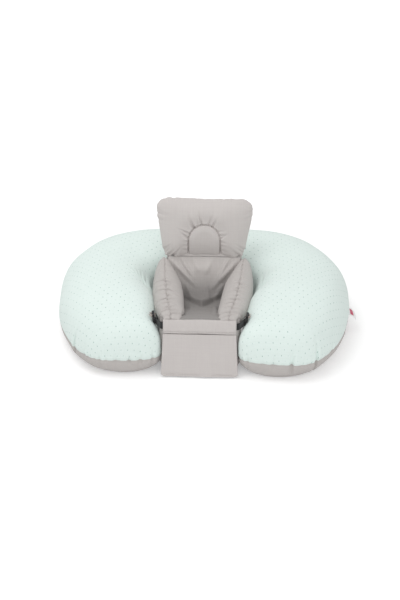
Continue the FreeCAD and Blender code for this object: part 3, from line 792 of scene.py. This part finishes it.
# Seat: padded wedge under one loose cloth over pan and back
def make_seat_block():
    block = pad_blank("seat_block", "seat_core", 0.005)
    eased(block, 3)
    stuffed(block, 2.0, 0.0022)
    push(block, 0.0012 + 0.0006 * lumps(points_of(block), 0.05, 51))
    shaped = points_of(block)
    shaped[:, 0] *= 1 - 0.090 * ramp(shaped[:, 1], -0.230, -0.260)
    shaped[:, 2] = np.maximum(shaped[:, 2], 0)
    set_points(block, shaped)
    set_wall_map(block)
    return block


def seat_places(points):
    """Places on the seat cloth: across, and along it from the front of the pan to the top of the back."""
    x, y, z = points.T
    pan = (y - pan_start_y) / math.cos(pan_slope)
    crease_turn = np.arctan2(y - crease_middle[1], crease_middle[2] - z) + pan_slope
    back_turn = np.arctan2(y - back_middle[1], back_middle[2] - z) - back_start_turn
    on_back = back_start + back_radius * back_turn
    on_crease = pan_length + crease_radius * crease_turn
    return x, np.where(y < crease_y, pan, np.where(y < back_y, on_crease, on_back))


def ridge(across, along, start, end, width):
    """Rounded fold between two places on a cloth, fading at its ends."""
    start, end = np.array(start), np.array(end)
    way = end - start
    length = np.linalg.norm(way)
    way /= length
    share = ((across - start[0]) * way[0] + (along - start[1]) * way[1]) / length
    beside = (across - start[0]) * way[1] - (along - start[1]) * way[0]
    return hump(beside, width) * np.clip(np.sin(math.pi * np.clip(share, 0, 1)), 0, 1) ** 0.6


# Folds of the seat cloth: start and end on it, height, width
seat_ridges = (
    ((-0.082, 0.302), (-0.012, 0.222), 0.0080, 0.0056),
    ((-0.058, 0.308), (-0.022, 0.246), 0.0062, 0.0046),
    ((-0.030, 0.310), (-0.012, 0.270), 0.0030, 0.0046),
    ((0.082, 0.302), (0.016, 0.216), 0.0084, 0.0056),
    ((0.062, 0.308), (0.030, 0.240), 0.0064, 0.0046),
    ((0.020, 0.306), (0.004, 0.262), 0.0026, 0.0050),
    ((-0.044, 0.240), (-0.024, 0.178), 0.0060, 0.0050),
    ((0.048, 0.240), (0.028, 0.180), 0.0062, 0.0050),
    ((0.008, 0.235), (0.014, 0.180), 0.0040, 0.0052),
    ((0.031, 0.165), (0.034, 0.050), 0.0052, 0.0042),
    ((-0.030, 0.160), (-0.024, 0.080), 0.0016, 0.0048),
)


def seat_folds(across, along):
    """Slack of the seat cloth: a pouch hanging over the crease and folds from the upper corners."""
    up = along - back_start
    pouch = smooth_ramp(up - 0.85 * np.abs(across + 0.002), -0.030, -0.021)
    pouch = pouch * hump(across, 0.042) * ramp(up, 0.075, 0.010)
    amount = 0.0150 * pouch + 0.0135 * hump(across + 0.003, 0.032) * hump(up - 0.085, 0.024)
    for start, end, height, width in seat_ridges:
        amount += height * ridge(across, along, start, end, width)
    slack = lumps(np.stack([across, along], 1), 0.022, 61)
    return amount + 0.0009 * (slack + 1) * ramp(along, 0, 0.02)


def make_seat_cloth():
    bm = bmesh.new()
    last = [bm.verts.new(lip_start)]
    pan_count = 32
    pan_step = Vector((0, math.cos(pan_slope), -math.sin(pan_slope))) * pan_length / pan_count
    for step in lip_steps + (pan_step,) * pan_count:
        last = bmesh.ops.extrude_vert_indiv(bm, verts=last)["verts"]
        bmesh.ops.translate(bm, verts=last, vec=step)
    last = ribbon_bend(bm, last, crease_middle, (1, 0, 0), crease_degrees, 10)
    ribbon_bend(bm, last, back_middle, (1, 0, 0), back_degrees, 27)
    bmesh.ops.remove_doubles(bm, verts=bm.verts, dist=merge_distance)
    ribbon_run(bm, bm.verts[:], (seat_half / 20, 0, 0), 40)
    bmesh.ops.recalc_face_normals(bm, faces=bm.faces)
    if sum(face.normal.z for face in bm.faces) < 0:
        bmesh.ops.reverse_faces(bm, faces=bm.faces)
    cloth = piece_from(bm, "seat_cloth")
    finer(cloth)
    across, along = seat_places(points_of(cloth))
    push(cloth, seat_folds(across, along))
    set_cloth_map(cloth, across, along)
    walled(cloth, panel_cloth)
    return cloth


def make_headrest_seam():
    """Narrow strip of cloth that joins the seat back to the pad's lower edge."""
    width, height = 0.186, 0.026
    seam = flat_grid("headrest_seam", 48, 12)
    flat = points_of(seam)[:, :2] * [width, height]
    across, up = flat[:, 0], flat[:, 1] + 0.0005
    set_cloth_map(seam, across, up)
    set_points(seam, pad_to_world(across, 0.0050 + 0.0005 * lumps(flat, 0.02, 65), up))
    walled(seam, panel_cloth)
    return seam


# Flap, belt, loops, label and zip
def make_flap():
    """Flap with rounded lower corners, hems pressed in along its sides and its foot, and loose folds."""
    flap = flat_grid("flap_cloth", 72, 44)
    share, rise = points_of(flap)[:, 0], points_of(flap)[:, 1] + 0.5
    up = flap_low + rise * flap_height
    curl = np.clip(flap_corner - (up - flap_low), 0, flap_corner)
    half = flap_half_low - flap_taper * rise - (flap_corner - np.sqrt(flap_corner ** 2 - curl ** 2))
    across = share * 2 * half
    loose = ramp(up, 0.1020, 0.0720)
    places = np.stack([across, up], 1)
    inward = -0.0009 * lumps(places, 0.045, 71) * loose
    inward -= 0.0005 * np.sin(across * 150 + 2.0 * lumps(places, 0.08, 72)) * loose
    inward += 0.0010 * hump(up - flap_hem, 0.0016) + 0.0007 * hump(half - np.abs(across) - 0.0045, 0.0015)
    set_cloth_map(flap, across, up)
    set_points(flap, on_plane(slope_place, across, inward, up))
    walled(flap, 0.0042)
    finer(flap)
    return flap


def make_casing():
    """Flattened tube of cloth round the webbing, drawn in where it is sewn below."""
    bm = bmesh.new()
    bmesh.ops.create_circle(bm, segments=40, radius=1.0)
    bmesh.ops.rotate(bm, verts=bm.verts, matrix=Matrix.Rotation(math.radians(90), 3, "Y"))
    bmesh.ops.translate(bm, verts=bm.verts, vec=(-casing_half, 0, 0))
    ribbon_run(bm, bm.verts[:], (casing_half / 30, 0, 0), 60)
    bmesh.ops.recalc_face_normals(bm, faces=bm.faces)
    casing = piece_from(bm, "casing_cloth")
    across, ahead, rise = points_of(casing).T
    turn = np.arctan2(rise, ahead)
    inward = np.where(ahead < 0, -0.0034, 0.0056) * np.abs(ahead) ** 0.6
    up = casing_up + casing_rise * np.sign(rise) * np.abs(rise) ** 0.85
    flat = np.stack([across, up * 0.5], 1)
    swell = 0.0007 * lumps(flat, 0.022, 75) + 0.0004 * np.sin(across * 420 + 2 * lumps(flat, 0.05, 76))
    inward += swell * np.sign(ahead)
    up += 0.0006 * lumps(np.stack([across, turn * 0.004], 1), 0.05, 77)
    inward *= 1 - 0.45 * hump(up - 0.1075, 0.0014)
    set_cloth_map(casing, across, turn * 0.011)
    set_points(casing, on_plane(slope_place, across, inward, up))
    walled(casing, 0.0012, -1.0)
    return casing


def make_webbing():
    """Strap from hook to hook, turned back at both ends of the casing."""
    strap_y, half_run, bend = -0.2428, 0.0835, 0.0080
    bm = bmesh.new()
    end = open_edge(bm, (0, strap_y, 0.1065), (0, strap_y, 0.1235), 7)
    end = ribbon_run(bm, end, (half_run / 14, 0, 0), 14)
    end = ribbon_bend(bm, end, (half_run, strap_y + bend, 0), (0, 0, 1), 60, 10)
    ribbon_run(bm, end, Vector((0.5, 0.866, 0)) * 0.0250 / 6, 6)
    bmesh.ops.mirror(bm, geom=bm.verts[:] + bm.edges[:] + bm.faces[:], axis="X", merge_dist=merge_distance)
    return finish_ribbon(bm, "webbing_strap", 0.0014, lambda x, y, z: (x + np.sign(x) * (y - strap_y), z))


def make_strap_loop(side, sign):
    """Ribbon out of an arm's seam, round the hook and back."""
    root_x, run, near_y, bend = 0.1440, 0.0356, -0.21145, 0.00465
    bm = bmesh.new()
    end = open_edge(bm, (root_x, near_y, 0.1176), (root_x, near_y, 0.1256), 5)
    end = ribbon_run(bm, end, (-run / 12, 0, 0), 12)
    end = ribbon_bend(bm, end, (root_x - run, near_y + bend, 0), (0, 0, 1), -180, 12)
    ribbon_run(bm, end, (run / 12, 0, 0), 12)
    if sign < 0:
        bmesh.ops.scale(bm, verts=bm.verts, vec=(-1, 1, 1))
    return finish_ribbon(bm, "loop_" + side, 0.0012, lambda x, y, z: (x + y, z))


def make_label():
    """Ribbon that bends down out of the right-hand seam, bowed a little at its end."""
    root_x, top_z, bend = 0.3530, 0.0480, 0.0240
    bm = bmesh.new()
    end = open_edge(bm, (root_x, -0.060, top_z), (root_x, -0.020, top_z), 17)
    end = ribbon_bend(bm, end, (root_x, 0, top_z - bend), (0, 1, 0), 48, 12)
    ribbon_run(bm, end, (0.0047 / 5, 0, -0.0052 / 5), 5)
    label = finish_ribbon(bm, "label_ribbon", 0.0009, lambda x, y, z: (y, np.hypot(x - root_x, z - 0.0470)))
    points = points_of(label)
    bow = 0.0008 * np.sin((points[:, 1] + 0.061) * 95) * ramp(points[:, 0], 0.356, 0.366)
    set_points(label, points + np.stack([bow, bow * 0, bow * 0.5], 1))
    return label


def make_zip_tape(name, middle):
    tape = flat_grid(name, 60, 6)
    across, up = points_of(tape)[:, 0] * 2 * zip_half, points_of(tape)[:, 1] * 0.0089 + middle
    out = -0.0009 + 0.00012 * lumps(np.stack([across, up], 1), 0.012, 81)
    set_cloth_map(tape, across, up)
    set_points(tape, on_plane(zip_place, across, out, up))
    walled(tape, 0.0010)
    return tape


def small_beads(name, plane, places, size, turn=0.0):
    """Many small rounded bars on a plane, turned about its inward axis to either side by turns."""
    bm = bmesh.new()
    for step, place in enumerate(places):
        turned = Matrix.Rotation(turn * (-1) ** step, 4, "Y") @ Matrix.Diagonal((*size, 1))
        bmesh.ops.create_uvsphere(bm, u_segments=8, v_segments=5, radius=1.0,
                                  matrix=plane @ Matrix.Translation(place) @ turned)
    return piece_from(bm, name)


def make_zip_coil():
    places = [(-0.0702 + 0.00075 * step, -0.0004, 0.00055 * (-1) ** step) for step in range(188)]
    return small_beads("coil_teeth", zip_place, places, (0.0006, 0.0009, 0.0011), math.radians(12))


def make_stitches(name, plane, half, out, rows, thickness):
    """Rows of stitches along a plane, 4 mm apart."""
    places = [(x, out, up) for x in np.arange(-half, half + 0.0001, 0.0040) for up in rows]
    return small_beads(name, plane, places, (0.0014, thickness, thickness))


cushion_top, cushion_base = make_cushion()
headrest = make_headrest()
wings = [make_wing("left", -1), make_wing("right", 1)]
seat_block = make_seat_block()
seat_cloth = make_seat_cloth()
headrest_seam = make_headrest_seam()
flap = make_flap()
casing = make_casing()
webbing = make_webbing()
loops = [make_strap_loop("left", -1), make_strap_loop("right", 1)]
label = make_label()
zip_tapes = [make_zip_tape("tape_upper", 0.0060), make_zip_tape("tape_lower", -0.0060)]
coil = make_zip_coil()
casing_stitches = make_stitches("casing_stitches", slope_place, 0.0800, -0.0030, [casing_stitch_up], 0.00035)
hem_stitches = make_stitches("hem_stitches", slope_place, 0.0740, -0.0019, [flap_hem], 0.00035)
zip_stitches = make_stitches("zip_stitches", zip_place, 0.0730, -0.0002, [-0.0088, 0.0088], 0.0003)


# Materials
def shade(red, green, blue):
    """Colour written as it looks on a screen, 0 to 255."""
    return tuple(((part / 255 + 0.055) / 1.055) ** 2.4 if part > 10 else part / 255 / 12.92
                 for part in (red, green, blue)) + (1.0,)


def feed(tree, socket, value):
    """Give a socket a plain value, or link another node's output to it."""
    if isinstance(value, bpy.types.NodeSocket):
        tree.links.new(value, socket)
    else:
        socket.default_value = value


def add_node(tree, kind, inputs=(), **settings):
    """Shader node with its settings, and its inputs by number or name."""
    node = tree.nodes.new("ShaderNode" + kind)
    for name, value in settings.items():
        setattr(node, name, value)
    for key, value in dict(inputs).items():
        feed(tree, node.inputs[key], value)
    return node


def reckon(tree, operation, *values):
    """Math node on sockets or plain numbers."""
    return add_node(tree, "Math", enumerate(values), operation=operation).outputs[0]


def reckon_vector(tree, operation, *values, output=0):
    """Vector math node on sockets or plain triples."""
    return add_node(tree, "VectorMath", enumerate(values), operation=operation).outputs[output]


def ranged(tree, value, start, end, low=0.0, high=1.0, interpolation="SMOOTHSTEP"):
    """Value carried from one range to another."""
    inputs = {"Value": value, "From Min": start, "From Max": end, "To Min": low, "To Max": high}
    return add_node(tree, "MapRange", inputs, interpolation_type=interpolation).outputs[0]


def mixed(tree, factor, first, second):
    """Colour between two, by a factor."""
    mix = add_node(tree, "Mix", data_type="RGBA")
    sockets = {socket.identifier: socket for socket in mix.inputs}
    for name, value in (("Factor_Float", factor), ("A_Color", first), ("B_Color", second)):
        feed(tree, sockets[name], value)
    return next(socket for socket in mix.outputs if socket.identifier == "Result_Color")


def stretched_noise(tree, vector, scale):
    """Noise on a vector scaled unevenly."""
    stretched = reckon_vector(tree, "MULTIPLY", vector, scale)
    return add_node(tree, "TexNoise", {"Vector": stretched, "Scale": 1.0, "Detail": 2.0}).outputs["Fac"]


def add_relief(tree, skin, height, strength, distance):
    """Fine relief on a surface from a height."""
    bump = add_node(tree, "Bump", {"Strength": strength, "Distance": distance, "Height": height})
    feed(tree, skin.inputs["Normal"], bump.outputs[0])


def weave_group():
    """Plain weave with slubs: thread height and slub tone, on flat cloth places in metres."""
    group = bpy.data.node_groups.new("weave", "ShaderNodeTree")
    for name, way, kind in (("Cloth", "INPUT", "Vector"), ("Threads", "INPUT", "Float"),
                            ("Height", "OUTPUT", "Float"), ("Slub", "OUTPUT", "Float")):
        group.interface.new_socket(name, in_out=way, socket_type="NodeSocket" + kind)
    start = group.nodes.new("NodeGroupInput")
    end = group.nodes.new("NodeGroupOutput")
    count = add_node(group, "VectorMath", {0: start.outputs["Cloth"], "Scale": start.outputs["Threads"]},
                     operation="SCALE").outputs[0]
    places = add_node(group, "SeparateXYZ", {0: count}).outputs
    waves = [reckon(group, "SINE", reckon(group, "MULTIPLY", places[axis], math.pi)) for axis in (0, 1)]
    crossing = reckon(group, "MULTIPLY_ADD", reckon(group, "MULTIPLY", *waves), 0.5, 0.5)
    warp = stretched_noise(group, count, (0.22, 0.010, 0))
    weft = stretched_noise(group, count, (0.010, 0.22, 0))
    slub = reckon(group, "MULTIPLY_ADD", reckon(group, "ADD", warp, weft), 0.5, 0.0)
    feed(group, end.inputs["Height"], reckon(group, "ADD", reckon(group, "MULTIPLY", crossing, 0.4), slub))
    feed(group, end.inputs["Slub"], slub)
    return group


weave = weave_group()


def new_material(name, roughness, sheen=0.0, specular=0.25):
    mat = bpy.data.materials.new(name)
    mat.use_nodes = True
    skin = mat.node_tree.nodes["Principled BSDF"]
    for socket, value in (("Roughness", roughness), ("Specular IOR Level", specular), ("Sheen Weight", sheen),
                          ("Sheen Roughness", 0.6)):
        skin.inputs[socket].default_value = value
    return mat, mat.node_tree, skin


def woven(name, dark, light, threads, roughness=0.88, sheen=0.12, relief=0.35):
    """Woven cloth between two tones of its colour: material, its tree and skin, flat places and colour."""
    mat, tree, skin = new_material(name, roughness, sheen)
    place = add_node(tree, "UVMap", uv_map="cloth").outputs[0]
    cloth = add_node(tree, "Group", node_tree=weave)
    feed(tree, cloth.inputs["Cloth"], place)
    feed(tree, cloth.inputs["Threads"], threads)
    colour = mixed(tree, ranged(tree, cloth.outputs["Slub"], 0.35, 0.65, interpolation="LINEAR"), dark, light)
    feed(tree, skin.inputs["Base Color"], colour)
    add_relief(tree, skin, cloth.outputs["Height"], relief, 0.0005)
    return mat, tree, skin, place, colour


def mint_print():
    """Pale mint cotton with staggered pin dots of uneven strength."""
    mat, tree, skin, place, colour = woven("mint_print", shade(224, 237, 232), shade(229, 241, 237), 2000)
    dots_per_metre = (1 / 0.0205, 1 / 0.0225, 0)
    rows = []
    for offset in (0.0, 0.5):
        lattice = reckon_vector(tree, "MULTIPLY_ADD", place, dots_per_metre, (offset, offset, 0))
        part = reckon_vector(tree, "FRACTION", lattice)
        away = reckon_vector(tree, "DISTANCE", part, (0.5, 0.5, 0), output="Value")
        spot = ranged(tree, away, 0.070, 0.042)
        luck = add_node(tree, "TexWhiteNoise", {"Vector": reckon_vector(tree, "FLOOR", lattice)},
                        noise_dimensions="2D").outputs["Value"]
        rows.append(reckon(tree, "MULTIPLY", spot, reckon(tree, "MULTIPLY_ADD", luck, 0.75, 0.25)))
    dots = reckon(tree, "MAXIMUM", *rows)
    feed(tree, skin.inputs["Base Color"], mixed(tree, dots, colour, shade(150, 178, 171)))
    return mat


def seat_lining_painted_shade():
    """Grey cotton of the seat, with painted shade in the hollow where the back meets the pan: darkest low on
    the back, a little lighter on the pan.
    """
    mat, tree, skin, place, colour = woven("seat_lining_painted_shade", shade(190, 185, 182), shade(198, 193, 190), 1500)
    across, along = add_node(tree, "SeparateXYZ", {0: place}).outputs[:2]
    lower = ranged(tree, along, 0.290, 0.205)
    slant = reckon(tree, "MULTIPLY_ADD", reckon(tree, "ABSOLUTE", across), -0.80, along)
    pan = ranged(tree, slant, 0.166, 0.150, high=0.14, interpolation="LINEAR")
    # Painted shade: the lower back and, slightly less, the pan take a darker copy of the cloth's colour to
    # stand in for shadow in the hollow.
    darker = add_node(tree, "HueSaturation", {"Value": 0.44, "Color": colour}).outputs[0]
    painted_shade = mixed(tree, reckon(tree, "SUBTRACT", lower, pan), colour, darker)
    feed(tree, skin.inputs["Base Color"], painted_shade)
    return mat


def label_ribbon():
    """White ribbon with one plain crimson stripe woven along it."""
    mat, tree, skin, place, colour = woven("label_ribbon", shade(238, 236, 236), shade(246, 245, 245), 1800,
                                           0.6, 0.3)
    along, out = add_node(tree, "SeparateXYZ", {0: place}).outputs[:2]
    stripe = reckon(tree, "COMPARE", out, 0.0125, 0.0042)
    short = reckon(tree, "COMPARE", along, -0.041, 0.014)
    mask = reckon(tree, "MULTIPLY", stripe, short)
    feed(tree, skin.inputs["Base Color"], mixed(tree, mask, colour, shade(196, 38, 84)))
    return mat


def moulded(name, dark, light, roughness):
    """Moulded plastic with a fine grain and uneven gloss."""
    mat, tree, skin = new_material(name, roughness, specular=0.5)
    place = add_node(tree, "TexCoord").outputs["Object"]
    cloud = stretched_noise(tree, place, (90, 90, 90))
    grain = stretched_noise(tree, place, (2400, 2400, 2400))
    feed(tree, skin.inputs["Base Color"], mixed(tree, cloud, dark, light))
    feed(tree, skin.inputs["Roughness"], reckon(tree, "MULTIPLY_ADD", cloud, 0.24, roughness - 0.12))
    add_relief(tree, skin, grain, 0.25, 0.0002)
    return mat


mint = mint_print()
grey = woven("grey_cotton", shade(197, 191, 189), shade(201, 196, 193), 1500)[0]
# Darker copy of the grey cotton as painted shade: used on the wings for the hollow they sit in, and on the
# cushion base for the shadow near the floor.
painted_shade_grey = woven("painted_shade_grey", shade(186, 181, 178), shade(191, 186, 183), 1500)[0]
loop_cloth = woven("loop_cloth", shade(196, 184, 178), shade(208, 198, 192), 1200)[0]
black_webbing = woven("black_webbing", shade(20, 20, 21), shade(34, 34, 36), 700, 0.75, 0.2, 0.9)[0]
tape_cloth = woven("tape_cloth", shade(208, 230, 223), shade(220, 239, 233), 1800)[0]
thread = woven("thread", shade(178, 173, 169), shade(190, 185, 182), 2500, 0.7, 0.2)[0]
label_cloth = label_ribbon()
black_plastic = moulded("black_plastic", shade(22, 22, 23), shade(34, 34, 35), 0.45)
white_nylon = moulded("white_nylon", shade(222, 226, 224), shade(233, 236, 234), 0.42)


# Bodies and what each piece replaces
def cover(obj, mat):
    obj.data.materials.clear()
    obj.data.materials.append(mat)


def finish_piece(obj, body, mat, slot, *replaced):
    cover(obj, mat)
    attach(obj, body)
    if replaced:
        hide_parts(*replaced)


finish_piece(cushion_top, "cushion", mint, "mint_print", "cushion_top_cover", "cushion_filling")
# Base in the darker grey copy: painted shade near the floor.
finish_piece(cushion_base, "cushion", painted_shade_grey, "grey_cotton", "cushion_base_cover")
finish_piece(headrest, "headrest", grey, "grey_cotton", "headrest_front", "headrest_back", "neck_panel",
             "headrest_filling")
# Wings in the darker grey copy: painted shade for the hollow between them.
for wing, side in zip(wings, ("left", "right")):
    layers = ["wing_%s_%s" % (side, layer) for layer in ("inner", "outer", "filling")]
    finish_piece(wing, "seat", painted_shade_grey, "grey_cotton", *layers)
finish_piece(seat_block, "seat", grey, "grey_cotton", "seat_core", "seat_front_panel", "seat_rear_panel",
             "seat_bottom", "gusset_left", "gusset_right")
finish_piece(seat_cloth, "seat", seat_lining_painted_shade(), "grey_cotton", "seat_panel", "back_panel")
cover(flap, grey)
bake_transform(flap)
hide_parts("flap_face", "flap_lining")
finish_piece(casing, "seat", grey, "grey_cotton", "belt_casing")
finish_piece(webbing, "seat", black_webbing, "black_webbing", "belt_webbing")
for loop, side in zip(loops, ("left", "right")):
    finish_piece(loop, "cushion", loop_cloth, "grey_cotton", "strap_loop_" + side)
finish_piece(label, "cushion", label_cloth, "white_label", "side_label")
for tape, edge in zip(zip_tapes, ("upper", "lower")):
    finish_piece(tape, "cushion", tape_cloth, "zip_tape", "zip_tape_" + edge)
finish_piece(coil, "cushion", white_nylon, "zip_plastic", "zip_coil")
for stitches, body in ((casing_stitches, "seat"), (hem_stitches, "front_flap"), (zip_stitches, "cushion")):
    finish_piece(stitches, body, thread, "grey_cotton")
    set_wall_map(stitches)
for node in ("strap_hook_left", "strap_hook_right"):
    cover(nodes[node], black_plastic)
for node in ("zip_stop_left", "zip_stop_right", "zip_slider", "zip_pull"):
    cover(nodes[node], white_nylon)
cover(headrest_seam, grey)
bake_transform(headrest_seam)

# Studio
photo_height_px = 600
view_shift_px = (-3.6, -15.4)
lamp_target = Vector((0, 0, 0.1))


def add_camera(azimuth, elevation, distance, target):
    """Camera that looks at the part as the photograph does."""
    lens = bpy.data.cameras.new("camera")
    lens.lens = 56.9
    lens.sensor_width = 36.0
    lens.shift_x, lens.shift_y = (shift / photo_height_px for shift in view_shift_px)
    camera = bpy.data.objects.new("camera", lens)
    scene.collection.objects.link(camera)
    a, e = math.radians(azimuth), math.radians(elevation)
    away = Vector((math.sin(a) * math.cos(e), -math.cos(a) * math.cos(e), math.sin(e)))
    camera.location = Vector(target) + away * distance
    camera.rotation_euler = (-away).to_track_quat("-Z", "Y").to_euler()
    scene.camera = camera


def add_lamp(name, size, energy, place):
    """Round softbox aimed at the part."""
    light = bpy.data.lights.new(name, "AREA")
    light.shape = "DISK"
    light.size = size
    light.energy = energy
    lamp = bpy.data.objects.new(name, light)
    scene.collection.objects.link(lamp)
    lamp.location = place
    lamp.rotation_euler = (lamp_target - lamp.location).to_track_quat("-Z", "Y").to_euler()


def seen_rays(tree):
    """1 on rays from the camera, and on those that gloss and clear things show."""
    path = add_node(tree, "LightPath").outputs
    either = reckon(tree, "MAXIMUM", path["Is Camera Ray"], path["Is Glossy Ray"])
    return reckon(tree, "MAXIMUM", either, path["Is Transmission Ray"])


def add_floor():
    """White floor that glows more the further it is from the part."""
    bm = bmesh.new()
    bmesh.ops.create_grid(bm, x_segments=1, y_segments=1, size=8.0)
    bmesh.ops.translate(bm, verts=bm.verts, vec=(0, 0, -0.0004))
    floor = piece_from(bm, "floor")
    mat, tree, skin = new_material("floor", 0.9)
    skin.inputs["Base Color"].default_value = (0.84, 0.84, 0.84, 1)
    skin.inputs["Emission Color"].default_value = (1, 1, 1, 1)
    from_part = reckon_vector(tree, "LENGTH", add_node(tree, "TexCoord").outputs["Object"], output="Value")
    glow = reckon(tree, "MULTIPLY", seen_rays(tree), ranged(tree, from_part, 0.55, 1.6, 0.31, 1.0))
    feed(tree, skin.inputs["Emission Strength"], glow)
    cover(floor, mat)


def add_world():
    """Even white surroundings, a little dimmer as light than they look."""
    world = bpy.data.worlds.new("studio")
    world.use_nodes = True
    scene.world = world
    tree = world.node_tree
    sky = tree.nodes["Background"]
    sky.inputs["Color"].default_value = (1, 1, 1, 1)
    feed(tree, sky.inputs["Strength"], reckon(tree, "MULTIPLY_ADD", seen_rays(tree), 0.28, 0.72))


add_camera(2.16, 27.9, 2.35, (0, -0.010, 0.098))
add_floor()
add_world()
add_lamp("softbox", 1.5, 13, (-0.75, -0.10, 2.1))
add_lamp("front_fill", 2.0, 12, (0.5, -2.5, 0.95))
scene.view_settings.view_transform = "Standard"
